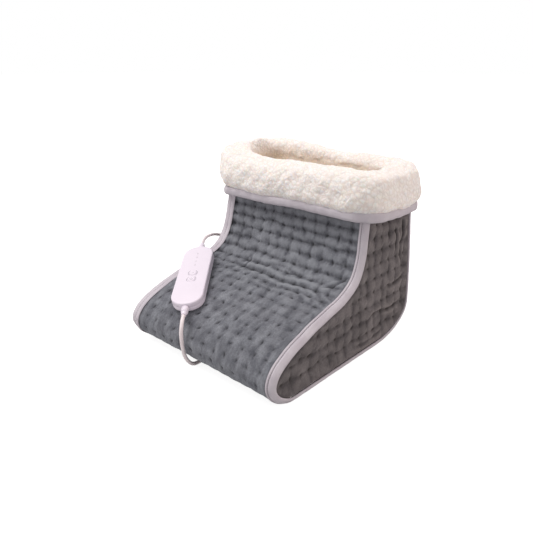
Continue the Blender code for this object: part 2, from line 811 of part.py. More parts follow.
def heating_parts():
    pad = box(
        (2 * pad_half_width, pad_back_y - pad_front_y, pad_thickness),
        (0.0, (pad_back_y + pad_front_y) / 2, (pad_bottom + pad_top) / 2),
        pad_corner, 4, upright_only=True,
    )
    part_from(pad, "heating_pad", "felt")
    block_x = -pad_half_width - layer_gap - splice_length / 2
    block = box(
        (splice_length, splice_width, splice_height),
        (block_x, splice_y, pad_bottom + splice_height / 2), part_edge,
    )
    part_from(block, "lead_splice", "black_plastic")

    turn = wire_run_pitch / 2
    start_x = -pad_half_width
    route = [Vector((start_x, first_run_y, wire_height))]
    for run in range(wire_run_count - 1):
        y = first_run_y - run * wire_run_pitch
        side = 1 if run % 2 == 0 else -1
        sweep = (90.0, -90.0) if side > 0 else (90.0, 270.0)
        route += arc((side * wire_run_half, y - turn), turn, sweep, 5, wire_height)
    last_y = first_run_y - (wire_run_count - 1) * wire_run_pitch
    return_x = -pad_half_width + wire_return_inset
    route += arc((return_x + wire_corner, last_y + wire_corner), wire_corner, (270.0, 180.0), 3, wire_height)
    end_corner = wire_return_inset - wire_diameter / 2
    route += arc((return_x - end_corner, second_end_y - end_corner), end_corner, (0.0, 90.0), 3, wire_height)
    route[-1].x = start_x
    tube_part("heating_wire", route, wire_diameter, "heating_wire", 1)

    for name, run in (("thermal_cutout_toe", 6), ("thermal_cutout_heel", 1)):
        y = first_run_y - (run + 0.5) * wire_run_pitch
        cutout = box(
            (cutout_length, cutout_width, cutout_height), (0.0, y, pad_top + layer_gap + cutout_height / 2), cutout_edge
        )
        part_from(cutout, name, "black_plastic")


# Lead inside the left wall, and its gland
def on_left_side(obj):
    """Stand an object on the left side's outer plane at the gland, its +Z outwards."""
    lean = math.atan(side_lean_share)
    obj.location = (side_x(-1, panel_recess, gland_z), gland_y, gland_z)
    obj.rotation_euler = (0.0, lean - math.pi / 2, 0.0)
    return obj


def gland_and_inner_lead():
    base = layer_gap - quilt_edge_dip
    sleeve_top = base + gland_flange_thickness + gland_sleeve_length
    neck_end = -shell_thickness - layer_gap
    boss_end = neck_end - gland_boss_thickness
    profile = (
        (0.0, sleeve_top), (gland_sleeve_tip_radius, sleeve_top),
        (gland_neck_radius, base + gland_flange_thickness), (gland_flange_radius, base + gland_flange_thickness),
        (gland_flange_radius, base), (gland_neck_radius, base), (gland_neck_radius, neck_end),
        (gland_boss_radius, neck_end), (gland_boss_radius, boss_end), (0.0, boss_end),
    )
    on_left_side(turned_part("cord_gland", profile, "cord_jacket"))

    depth = (side_wadding_depth + side_wadding_inner) / 2
    boss_drop = side_lean_share * (shell_thickness + layer_gap + gland_boss_thickness)
    top_z = gland_z - gland_boss_radius - boss_drop - cord_gap
    floor_z = pad_bottom + splice_height / 2
    bend_x = side_x(-1, depth, floor_z) + inner_lead_bend
    route = [Vector((side_x(-1, depth, top_z), gland_y, top_z))]
    for step in range(1, 4):
        z = top_z + (floor_z + inner_lead_bend - top_z) * step / 4
        route.append(Vector((side_x(-1, depth, z), gland_y, z)))
    for step in range(5):
        angle = math.radians(180.0 + 90.0 * step / 4)
        x = bend_x + inner_lead_bend * math.cos(angle)
        z = floor_z + inner_lead_bend + inner_lead_bend * math.sin(angle)
        route.append(Vector((x, gland_y, z)))
    route.append(Vector((-pad_half_width - 2 * layer_gap - splice_length, gland_y, floor_z)))
    tube_part("inner_lead", route, inner_lead_diameter, "cord_jacket", 2)


# Hand control, in its own frame: +X across, +Y towards the lead, +Z out of the face
def control_pose(outline):
    """The middle of the hand control's face, and its turn: it lies on the slope of the instep."""
    y0 = control_y - control_width
    y1 = control_y + control_width
    slope = (outline.instep_z(y1) - outline.instep_z(y0)) / (y1 - y0)
    pitch = math.atan(slope * control_slope_share * math.cos(control_heading))
    height = outline.instep_z(control_y) + control_above_instep
    place = Vector((control_left_inset - boot_width / 2, control_y, height))
    return place, Euler((pitch, control_roll, control_heading), "YXZ")


def control_frame(outline):
    frame = bpy.data.objects.new("hand_control_frame", None)
    bpy.data.collections[COLLECTION_NAME].objects.link(frame)
    frame.location, turn = control_pose(outline)
    frame.rotation_mode = "YXZ"
    frame.rotation_euler = turn
    return frame


def shell_half(name, low, high, closed_z, parent):
    """One half of the housing: a rounded box, open at the parting, with its wall inside."""
    size = (control_width, control_length, high - low)
    bm = box(size, (0.0, 0.0, (high + low) / 2), control_corner, 6, upright_only=True)
    rim = [e for e in bm.edges if all(abs(v.co.z - closed_z) < MERGE_DISTANCE for v in e.verts)]
    bmesh.ops.bevel(bm, geom=rim, offset=control_edge, segments=2, profile=0.5, affect="EDGES")
    open_z = low + high - closed_z
    lid = [f for f in bm.faces if all(abs(v.co.z - open_z) < MERGE_DISTANCE for v in f.verts)]
    bmesh.ops.delete(bm, geom=lid, context="FACES_ONLY")
    half = part_from(bm, name, "control_plastic", parent, smooth=True)
    solid = half.modifiers.new("wall", "SOLIDIFY")
    solid.thickness = control_wall
    solid.offset = -1.0
    solid.use_even_offset = True
    solid.use_quality_normals = True
    return half


def drill(target, name, radius, low, high, along, frame, steps=round_steps):
    """Cut a hole along the control's Z, at a place on its long axis."""
    combine(target, cutter_from(cylinder(radius, low, high, (0.0, along), steps), name, frame), "DIFFERENCE")


def control_housing(frame):
    top_low = -control_parting + layer_gap / 2
    bottom_high = -control_parting - layer_gap / 2
    top = shell_half("control_top_shell", top_low, 0.0, 0.0, frame)
    bottom = shell_half("control_bottom_shell", -control_height, bottom_high, -control_height, frame)
    under_wall = -control_wall - cut_overrun
    for along, name in ((level_button_along, "level_button_hole"), (power_button_along, "power_button_hole")):
        drill(top, name, button_radius + button_clearance, under_wall, cut_overrun, along, frame)
    for k in range(light_count):
        along = light_last_along + k * light_spacing
        hole = light_post_radius + layer_gap
        drill(top, f"light_hole_{k + 1}", hole, under_wall, cut_overrun, along, frame, 12)
    for sign, name in ((1, "upper"), (-1, "lower")):
        hole = cylinder(relief_neck_radius + layer_gap, under_wall, control_wall + cut_overrun)
        bore = cutter_from(hole, f"{name}_relief_hole", frame)
        bore.location = (0.0, sign * control_length / 2, -control_parting)
        bore.rotation_euler = (math.pi / 2, 0.0, 0.0)
        combine(top, bore, "DIFFERENCE")
        combine(bottom, bore, "DIFFERENCE")
        case_screw(top, bottom, name, sign * screw_along, top_low, bottom_high, frame)


def case_screw(top, bottom, name, along, top_low, bottom_high, frame):
    """A screw through a foot in the bottom shell into a boss in the top shell."""
    low = -control_height
    shank_hole = screw_shank_radius + screw_clearance
    boss = cylinder(screw_boss_radius, top_low, -control_wall / 2, (0.0, along))
    combine(top, cutter_from(boss, f"{name}_boss", frame), "UNION")
    drill(top, f"{name}_pilot", shank_hole, low, screw_pilot_spare - screw_tip_depth, along, frame)
    foot = cylinder(screw_boss_radius, low + control_wall / 2, bottom_high, (0.0, along))
    combine(bottom, cutter_from(foot, f"{name}_foot", frame), "UNION")
    drill(bottom, f"{name}_passage", shank_hole, low - cut_overrun, bottom_high + cut_overrun, along, frame)
    head_low = low + screw_recess
    head_high = head_low + screw_head_height
    head_hole = screw_head_radius + screw_clearance
    drill(bottom, f"{name}_sink", head_hole, low - cut_overrun, head_high + layer_gap, along, frame)
    profile = (
        (0.0, -screw_tip_depth), (screw_shank_radius, -screw_tip_depth - screw_shank_radius),
        (screw_shank_radius, head_high), (screw_head_radius, head_high),
        (screw_head_radius, head_low), (0.0, head_low),
    )
    screw = turned_part(f"case_screw_{name}", profile, "steel", frame, 12)
    screw.location = (0.0, along, 0.0)


def control_button(name, along, frame):
    under = -control_wall - layer_gap
    flange_low = under - button_flange_thickness
    stem_low = flange_low - button_stem_length
    profile = (
        (0.0, button_rise), (button_radius - part_edge, button_rise), (button_radius, button_rise - part_edge),
        (button_radius, under), (button_flange_radius, under), (button_flange_radius, flange_low),
        (button_stem_radius, flange_low), (button_stem_radius, stem_low), (0.0, stem_low),
    )
    button = turned_part(name, profile, "control_plastic", frame, 24)
    button.location = (0.0, along, 0.0)
    return stem_low


def control_inside(frame):
    stem_low = control_button("level_button", level_button_along, frame)
    control_button("power_button", power_button_along, frame)
    bar_top = -control_wall - layer_gap
    lights_middle = light_last_along + (light_count - 1) * light_spacing / 2
    bar_length = (light_count - 1) * light_spacing + 2 * light_bar_overhang
    bar_size = (light_bar_width, bar_length, light_bar_thickness)
    bar = box(bar_size, (0.0, lights_middle, bar_top - light_bar_thickness / 2))
    guide = part_from(bar, "light_guide", "light_guide", frame)
    for k in range(light_count):
        along = light_last_along + k * light_spacing
        post = cylinder(light_post_radius, bar_top - light_bar_thickness / 2, 0.0, (0.0, along), 12)
        combine(guide, cutter_from(post, f"light_post_{k + 1}", frame), "UNION")

    board_low = -control_height + control_wall + board_standoff
    board_top = board_low + board_thickness
    plate = box(
        (board_width, board_length, board_thickness), (0.0, 0.0, (board_low + board_top) / 2), board_corner, 3,
        upright_only=True,
    )
    part_from(plate, "circuit_board", "board", frame)
    rest_size = (board_width / 2, board_rest_length, board_standoff)
    rest = box(rest_size, (0.0, 0.0, board_low - layer_gap - board_standoff / 2))
    combine(bpy.data.objects["control_bottom_shell"], cutter_from(rest, "board_rest", frame), "UNION")
    seat = board_top + layer_gap
    switch_top = stem_low - button_travel - button_clearance
    for name, along in (("level_switch", level_button_along), ("power_switch", power_button_along)):
        body = box((switch_size, switch_size, switch_top - seat), (0.0, along, (seat + switch_top) / 2), part_edge)
        part_from(body, name, "black_plastic", frame)
    for k in range(light_count):
        along = light_last_along + k * light_spacing
        chip_size = (light_chip_width, light_chip_length, light_chip_height)
        chip = box(chip_size, (0.0, along, seat + light_chip_height / 2))
        part_from(chip, f"indicator_light_{light_count - k}", "light_guide", frame)
    fuse = cylinder(fuse_radius, -fuse_length / 2, fuse_length / 2, steps=12)
    fuse_part = part_from(fuse, "board_fuse", "steel", frame, smooth=True)
    across_share, along_share = fuse_place_share
    fuse_part.location = (across_share * board_width, along_share * board_length, seat + fuse_radius)
    fuse_part.rotation_euler = (math.pi / 2, 0.0, 0.0)
    blocks = (
        ("board_triac", triac_place_share, (triac_size, triac_size, triac_height), "black_plastic"),
        ("board_capacitor", capacitor_place_share, (capacitor_width, capacitor_length, capacitor_height), "capacitor"),
    )
    for name, share, size, finish in blocks:
        block = box(size, (share[0] * board_width, share[1] * board_length, seat + size[2] / 2), part_edge)
        part_from(block, name, finish, frame)


def control_reliefs(frame):
    """The two moulded strain reliefs, turned about the cord's line."""
    inner_corner = control_corner - control_wall
    round_drop = inner_corner - math.sqrt(inner_corner ** 2 - relief_flange_radius ** 2)
    inner = control_wall + round_drop + layer_gap
    step = relief_length * relief_step_share
    profile = (
        (0.0, relief_length), (relief_tip_radius, relief_length),
        (relief_tip_radius + relief_step_share * (relief_root_radius - relief_tip_radius), step),
        (relief_root_radius, step - part_edge), (relief_root_radius, layer_gap),
        (relief_neck_radius, layer_gap), (relief_neck_radius, -inner), (relief_flange_radius, -inner),
        (relief_flange_radius, -inner - relief_flange_thickness), (0.0, -inner - relief_flange_thickness),
    )
    for sign, name in ((1, "upper_strain_relief"), (-1, "lower_strain_relief")):
        relief = turned_part(name, profile, "control_plastic", frame)
        relief.location = (0.0, sign * control_length / 2, -control_parting)
        relief.rotation_euler = (-sign * math.pi / 2, 0.0, 0.0)


# Cord routes, points chosen by hand between the pieces that hold the cords
def route_points(rows):
    return [Vector((x, y - centre_y, z)) for x, y, z in rows]


lead_route = route_points((
    (-0.1472, 0.1565, 0.1210), (-0.1540, 0.1705, 0.1203),
    (-0.1600, 0.1850, 0.1178), (-0.1655, 0.1985, 0.1135), (-0.1683, 0.2100, 0.1090), (-0.1672, 0.2205, 0.1055),
    (-0.1619, 0.2280, 0.1030),
))
mains_route = route_points((
    (-0.0168, -0.0015, 0.0645), (-0.0148, -0.0045, 0.0550), (-0.0138, -0.0050, 0.0440), (-0.0127, -0.0045, 0.0320),
    (-0.0115, -0.0025, 0.0205),
    (-0.0108, 0.0028, 0.0110), (-0.0112, 0.0092, 0.0051), (-0.0119, 0.0155, 0.0030), (mains_x, 0.0230, cord_floor),
    (mains_x, 0.0350, cord_floor), (mains_x, 0.0900, cord_floor), (mains_x, 0.1600, cord_floor),
    (mains_x, 0.2300, cord_floor), (mains_x, 0.3000, cord_floor), (mains_x, 0.3450, cord_floor),
))


def relief_end(outline, sign):
    """Where a cord meets the hand control's upper (1) or lower (-1) strain relief, and its heading."""
    place, turn = control_pose(outline)
    heading = turn.to_matrix() @ Vector((0.0, sign, 0.0))
    middle = place + turn.to_matrix() @ Vector((0.0, 0.0, -control_parting))
    return middle + heading * (control_length / 2 + relief_length + cord_gap), heading


def gland_end():
    """Where the lead meets the gland's sleeve, and the direction out of the gland."""
    lean = math.atan(side_lean_share)
    outward = Vector((-math.cos(lean), 0.0, math.sin(lean)))
    reach = layer_gap - quilt_edge_dip + gland_flange_thickness + gland_sleeve_length + cord_gap
    return Vector((side_x(-1, panel_recess, gland_z), gland_y, gland_z)) + outward * reach, outward


def smooth_step(share):
    share = min(max(share, 0.0), 1.0)
    return share * share * (3 - 2 * share)


def coil_layer_height(layer):
    return coil_lift + cord_diameter / 2 + layer * coil_pitch


def coil_radius(turn):
    """The coil spirals in below and out again above, and its tail moves out further."""
    radius = coil_inner_radius + coil_pitch * abs(turn - coil_turns / 2)
    return radius + coil_tail_out * smooth_step((turn - coil_turns + coil_tail_turns) / coil_climb_turns)


def coil_point(turn):
    """A point of the coil, which climbs a layer in the half turn where its spiral reverses."""
    rise = smooth_step((turn - coil_turns / 2) / coil_climb_turns + 0.5)
    height = coil_layer_height(0) + (coil_layer_height(1) - coil_layer_height(0)) * rise
    tail_drop = coil_layer_height(1) - plug_axis_height
    height -= tail_drop * smooth_step((turn - coil_turns) / coil_tail_drop_turns + 1)
    angle = 2 * math.pi * turn
    radius = coil_radius(turn)
    return Vector((
        coil_centre[0] + radius * math.cos(angle), coil_centre[1] + radius * math.sin(angle), height,
    ))


def coil_points():
    count = round(coil_turns * coil_points_per_turn)
    points = [coil_point(coil_turns * k / count) for k in range(count + 1)]
    start = points[0] - Vector((0.0, coil_tail_straight, 0.0))
    heading = coil_heading()
    return [start, *points, points[-1] + heading * coil_tail_straight]


def coil_heading():
    """The level direction in which the coil's tail leaves."""
    angle = 2 * math.pi * coil_turns
    return Vector((-math.sin(angle), math.cos(angle), 0.0))


def least_gap(points, apart):
    """The least clear gap between two stretches of one tube that lie some points apart."""
    places = np.array(points)
    least = 1.0
    for k in range(len(places) - apart):
        others = places[k + apart:]
        starts = others[:-1]
        along = others[1:] - starts
        share = ((places[k] - starts) * along).sum(1) / (along * along).sum(1)
        nearest = starts + np.clip(share, 0.0, 1.0)[:, None] * along
        if len(nearest):
            least = min(least, float(np.linalg.norm(nearest - places[k], axis=1).min()))
    return least - cord_diameter


def cord_line(start, start_heading, route, end, end_heading):
    """A cord's centre line: it leaves and arrives straight, for one diameter."""
    straight = cord_diameter
    points = [start, start + start_heading * straight, *route, end - end_heading * straight, end]
    line = even_line(smooth_line(points, 8, start_heading, end_heading), cord_point_spacing)
    for point in line:
        point.z = max(point.z, cord_floor)
    return line


def cords(outline):
    start, heading = relief_end(outline, 1)
    end, outward = gland_end()
    lead = cord_line(start, heading, lead_route, end, -outward)
    tube_part("lead_cord", lead, cord_diameter, "cord_jacket", 2)
    turns = coil_points()
    start, heading = relief_end(outline, -1)
    backwards = Vector((0.0, 1.0, 0.0))
    mains = cord_line(start, heading, mains_route, turns[0] - backwards * cord_gap, backwards)
    tube_part("mains_cord", mains, cord_diameter, "cord_jacket", 2)
    tube_part("mains_coil", turns, cord_diameter, "cord_jacket", 1)
    print(f"least gap of the coil to itself: {least_gap(turns, coil_points_per_turn // 2) * 1000:.2f} mm")
    for name, points in (("lead", lead), ("mains", mains), ("coil", turns)):
        length = sum((b - a).length for a, b in zip(points, points[1:]))
        print(f"{name} cord: {length:.3f} m, {len(points)} points")
    return turns


def coil_tie():
    """A flat band round the wound strands."""
    first_turn = tie_angle / (2 * math.pi)
    strands = [coil_radius(first_turn + k) for k in range(int(coil_turns - first_turn) + 1)]
    mean_radius = (min(strands) + max(strands)) / 2
    reach = cord_diameter / 2 + tie_clearance
    half_width_in = (max(strands) - min(strands)) / 2 + reach
    low = coil_layer_height(0) - reach
    high = coil_layer_height(1) + reach
    band = box((2 * (half_width_in + tie_thickness), tie_width, high - low + 2 * tie_thickness), (0.0, 0.0, 0.0))
    tie = part_from(band, "coil_tie", "black_plastic")
    tie.location = (
        coil_centre[0] + mean_radius * math.cos(tie_angle), coil_centre[1] + mean_radius * math.sin(tie_angle),
        (low + high) / 2,
    )
    tie.rotation_euler = (0.0, 0.0, tie_angle)
    hole = cutter_from(box((2 * half_width_in, tie_width * 2, high - low), (0.0, 0.0, 0.0)), "tie_hole")
    hole.location = tie.location
    hole.rotation_euler = tie.rotation_euler
    combine(tie, hole, "DIFFERENCE")


def plug(tail):
    """The plug in its own frame: +Y along the pins, its origin at the cord's end."""
    heading = coil_heading()
    frame = bpy.data.objects.new("plug_frame", None)
    bpy.data.collections[COLLECTION_NAME].objects.link(frame)
    start = tail[-1] + heading * cord_gap
    frame.location = (start.x, start.y, plug_axis_height)
    frame.rotation_euler = (0.0, 0.0, math.atan2(-heading.x, heading.y))

    profile = [(0.0, plug_relief_length)]
    ribs = plug_relief_ribs * 2
    for k in range(ribs + 1):
        share = 1.0 - k / ribs
        rib = plug_relief_rib_depth if k % 2 else 0.0
        radius = relief_tip_radius + (plug_relief_radius - relief_tip_radius) * share - rib
        profile.append((radius, plug_relief_length * share))
    profile.append((0.0, 0.0))
    relief = turned_part("plug_strain_relief", profile, "cord_jacket", frame)
    relief.rotation_euler = (-math.pi / 2, 0.0, 0.0)

    rear = plug_relief_length + layer_gap
    waist = rear + plug_length * plug_waist_share
    front = rear + plug_length
    rings = []
    for y, width in ((rear, plug_rear_width), (waist, plug_front_width), (front, plug_front_width)):
        half = width / 2
        thick = plug_thickness / 2
        rings.append([Vector(p) for p in ((-half, y, -thick), (half, y, -thick), (half, y, thick), (-half, y, thick))])
    bm = loft(rings, closed=False)
    bmesh.ops.recalc_face_normals(bm, faces=bm.faces[:])
    bmesh.ops.bevel(bm, geom=bm.edges[:], offset=plug_edge, segments=2, profile=0.5, affect="EDGES")
    part_from(bm, "plug_body", "cord_jacket", frame, smooth=True)
    for side, name in ((-1, "plug_pin_left"), (1, "plug_pin_right")):
        pin_start = front + layer_gap
        end = pin_start + plug_pin_length
        pin_profile = (
            (0.0, end), (plug_pin_radius / 2, end), (plug_pin_radius, end - plug_pin_radius),
            (plug_pin_radius, pin_start), (0.0, pin_start),
        )
        pin = turned_part(name, pin_profile, "brass", frame, 12)
        pin.location = (side * plug_pin_spacing / 2, 0.0, 0.0)
        pin.rotation_euler = (-math.pi / 2, 0.0, 0.0)


def main():
    clear_scene()
    make_collection(COLLECTION_NAME)
    make_collection(CUTTER_COLLECTION_NAME)
    outline = Outline()
    shell_and_layers(outline)
    fleece_cuff(outline)
    cuff_tape(outline)
    heating_parts()
    gland_and_inner_lead()
    frame = control_frame(outline)
    control_housing(frame)
    control_inside(frame)
    control_reliefs(frame)
    turns = cords(outline)
    coil_tie()
    plug(turns)


main()
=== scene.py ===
"""Looks of an electric foot warmer: a quilted boot for both feet, its hand control and its lead.

Metres, +Z up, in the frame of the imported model. The toe points to -Y and the boot stands on z = 0.
"""
from __future__ import annotations

import json
import logging
import math
from collections.abc import Callable, Iterator, Sequence
from contextlib import contextmanager
from dataclasses import dataclass, field
from enum import Enum

import bmesh
import bpy
import numpy as np
from bpy.types import Material, Node, NodeSocket, NodeTree, Object
from mathutils import Matrix, Vector

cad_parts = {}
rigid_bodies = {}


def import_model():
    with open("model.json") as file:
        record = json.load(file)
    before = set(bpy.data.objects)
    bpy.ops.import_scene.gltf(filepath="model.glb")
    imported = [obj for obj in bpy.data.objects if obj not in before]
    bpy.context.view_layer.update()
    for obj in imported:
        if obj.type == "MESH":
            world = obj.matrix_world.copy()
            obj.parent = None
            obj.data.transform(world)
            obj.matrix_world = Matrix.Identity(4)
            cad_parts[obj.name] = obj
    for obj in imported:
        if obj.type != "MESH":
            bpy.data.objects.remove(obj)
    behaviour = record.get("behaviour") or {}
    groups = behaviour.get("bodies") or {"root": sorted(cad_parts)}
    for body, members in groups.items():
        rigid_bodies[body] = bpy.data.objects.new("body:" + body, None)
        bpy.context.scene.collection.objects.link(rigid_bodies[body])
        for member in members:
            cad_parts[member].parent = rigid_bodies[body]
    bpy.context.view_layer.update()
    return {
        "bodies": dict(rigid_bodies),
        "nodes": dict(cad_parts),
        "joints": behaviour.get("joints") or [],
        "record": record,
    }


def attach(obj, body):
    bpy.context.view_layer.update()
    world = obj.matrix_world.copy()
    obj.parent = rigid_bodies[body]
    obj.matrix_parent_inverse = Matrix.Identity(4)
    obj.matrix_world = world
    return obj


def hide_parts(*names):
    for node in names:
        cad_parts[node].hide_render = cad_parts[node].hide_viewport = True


LOG = logging.getLogger("foot_warmer")
BOOT_BODY = "boot"
MERGE_DISTANCE = 0.00001
TOUCH_GAP = 0.0003

Pair = tuple[float, float]
Place = tuple[float, float, float]


# Editing helpers
def select_only(piece: Object) -> None:
    """Make one object the selected and active one."""
    bpy.ops.object.select_all(action="DESELECT")
    piece.select_set(True)
    bpy.context.view_layer.objects.active = piece


@contextmanager
def edit_mode(piece: Object) -> Iterator[bmesh.types.BMesh]:
    """Open a piece in edit mode with nothing selected, and close it again.

    Args:
        piece: The mesh object to edit.

    Returns:
        The edit mesh, in which faces and edges are selected in code.
    """
    select_only(piece)
    bpy.ops.object.mode_set(mode="EDIT")
    bpy.ops.mesh.select_all(action="DESELECT")
    yield bmesh.from_edit_mesh(piece.data)
    bpy.ops.object.mode_set(mode="OBJECT")


def select(piece: Object, kind: str, wanted: Callable) -> None:
    """Select the faces or edges of an edit mesh that pass a test.

    Args:
        piece: The object in edit mode.
        kind: FACE or EDGE.
        wanted: The test on one face or edge.
    """
    mesh = bmesh.from_edit_mesh(piece.data)
    bpy.ops.mesh.select_mode(type=kind)
    for element in mesh.faces if kind == "FACE" else mesh.edges:
        element.select_set(wanted(element))
    bmesh.update_edit_mesh(piece.data)


def merge_doubles() -> None:
    """Merge the points of the open edit mesh that lie on each other."""
    bpy.ops.mesh.select_all(action="SELECT")
    bpy.ops.mesh.remove_doubles(threshold=MERGE_DISTANCE)


def face_outwards() -> None:
    """Turn the faces of the open edit mesh outwards and shade them smooth."""
    bpy.ops.mesh.select_all(action="SELECT")
    bpy.ops.mesh.normals_make_consistent(inside=False)
    bpy.ops.mesh.faces_shade_smooth()


def apply_modifiers(piece: Object) -> None:
    """Apply every modifier of a piece, in order."""
    select_only(piece)
    for modifier in list(piece.modifiers):
        bpy.ops.object.modifier_apply(modifier=modifier.name)


def apply_place(piece: Object) -> None:
    """Move a piece's place, turn and scale into its mesh."""
    select_only(piece)
    bpy.ops.object.transform_apply(location=True, rotation=True, scale=True)


def named(name: str) -> Object:
    """Name the object that an operator has just added, and its data.

    Args:
        name: Its new name.

    Returns:
        The object.
    """
    piece = bpy.context.object
    piece.name = name
    piece.data.name = name
    return piece


def added(name: str, data: bpy.types.ID) -> Object:
    """Add an object for new data to the scene."""
    piece = bpy.data.objects.new(name, data)
    bpy.context.scene.collection.objects.link(piece)
    return piece


def poly_curve(name: str, diameter: float, roundness: int, lines: Sequence[Sequence[Place]]) -> Object:
    """A curve with a round section along each of some lines.

    Args:
        name: The curve's name.
        diameter: The section's diameter.
        roundness: The bevel's resolution.
        lines: The points of each line.

    Returns:
        The curve object at the origin.
    """
    curve = bpy.data.curves.new(name, "CURVE")
    curve.dimensions = "3D"
    curve.bevel_depth = diameter / 2
    curve.bevel_resolution = roundness
    curve.use_fill_caps = True
    for line in lines:
        spline = curve.splines.new("POLY")
        spline.use_smooth = True
        spline.points.add(len(line) - 1)
        for slot, point in zip(spline.points, line):
            slot.co = (*point, 1.0)
    return added(name, curve)


def points_of(piece: Object, kind: str = "co") -> np.ndarray:
    """The piece's points as rows of x, y and z."""
    flat = np.zeros(len(piece.data.vertices) * 3)
    piece.data.vertices.foreach_get(kind, flat)
    return flat.reshape(-1, 3)


def normals_of(piece: Object) -> np.ndarray:
    """The outward direction at each of the piece's points."""
    return points_of(piece, "normal")


def move_points(piece: Object, points: np.ndarray) -> None:
    """Give the piece's mesh new points."""
    piece.data.vertices.foreach_set("co", points.astype(np.float32).ravel())
    piece.data.update()


def flat_grid(name: str, steps_x: int, steps_y: int) -> tuple[Object, np.ndarray]:
    """A flat grid from -0.5 to 0.5 both ways, to be shaped, and its points."""
    bpy.ops.mesh.primitive_grid_add(x_subdivisions=steps_x, y_subdivisions=steps_y, size=1.0)
    piece = named(name)
    return piece, points_of(piece)


def keep_values(piece: Object, name: str, values: np.ndarray) -> None:
    """Store one number for each point, for a material or a later step to read."""
    found = piece.data.attributes.get(name) or piece.data.attributes.new(name, "FLOAT", "POINT")
    found.data.foreach_set("value", values.astype(np.float32))


def kept_values(piece: Object, name: str) -> np.ndarray:
    """Read back the numbers that keep_values stored."""
    values = np.zeros(len(piece.data.vertices), np.float32)
    piece.data.attributes[name].data.foreach_get("value", values)
    return values.astype(float)


def smooth_step(share: np.ndarray | float) -> np.ndarray | float:
    """An even rise from 0 to 1."""
    share = np.clip(share, 0.0, 1.0)
    return share * share * (3 - 2 * share)


def smooth_line(
    points: Sequence[Sequence[float]], steps: int, first_heading: Sequence[float] | None = None,
    last_heading: Sequence[float] | None = None,
) -> np.ndarray:
    """Draw a line through points so that its bend changes evenly.

    Args:
        points: The points that the line passes.
        steps: How many steps lie between each two.
        first_heading: The direction at its start, or None for an end that runs out straight.
        last_heading: The direction at its end, or None.

    Returns:
        The line's points as rows.
    """
    places = np.array([tuple(p) for p in points], float)
    moves = np.diff(places, axis=0)
    spans = np.linalg.norm(moves, axis=1)
    slopes = moves / spans[:, None]
    count = len(places)
    shares = np.zeros((count, count))
    sums = np.zeros_like(places)
    for k in range(1, count - 1):
        shares[k, k - 1:k + 2] = spans[k], 2 * (spans[k - 1] + spans[k]), spans[k - 1]
        sums[k] = 3 * (spans[k] * slopes[k - 1] + spans[k - 1] * slopes[k])
    for end, near, slope, heading in ((0, 1, 0, first_heading), (-1, -2, -1, last_heading)):
        shares[end, end] = 1
        shares[end, near] = 0.5 if heading is None else 0
        sums[end] = slopes[slope] * 1.5 if heading is None else tuple(heading)
    headings = np.linalg.solve(shares, sums)
    line = []
    for k in range(count - 1):
        for step in range(steps):
            t = step / steps
            rise = 3 * t ** 2 - 2 * t ** 3
            leave = (t - 2 * t ** 2 + t ** 3) * spans[k]
            arrive = (t ** 3 - t ** 2) * spans[k]
            place = places[k] * (1 - rise) + places[k + 1] * rise
            line.append(place + headings[k] * leave + headings[k + 1] * arrive)
    line.append(places[-1])
    return np.array(line)


def even_line(points: np.ndarray, count: int) -> np.ndarray:
    """Share a line into equal steps.

    Args:
        points: The line's points as rows.
        count: How many steps it gets.

    Returns:
        count + 1 points, the line's two ends among them.
    """
    travel = np.concatenate([[0.0], np.cumsum(np.linalg.norm(np.diff(points, axis=0), axis=1))])
    wanted = np.linspace(0.0, travel[-1], count + 1)
    axes = range(points.shape[1])
    return np.stack([np.interp(wanted, travel, points[:, axis]) for axis in axes], axis=1)


def nearest_number(points: np.ndarray, places: np.ndarray) -> np.ndarray:
    """The number of the place that is nearest to each point, worked out in batches.

    Args:
        points: Rows of points.
        places: Rows of places.

    Returns:
        One number for each point.
    """
    batch = 3000
    numbers = []
    for first in range(0, len(points), batch):
        apart = points[first:first + batch, None, :] - places[None, :, :]
        numbers.append((apart ** 2).sum(axis=2).argmin(axis=1))
    return np.concatenate(numbers)


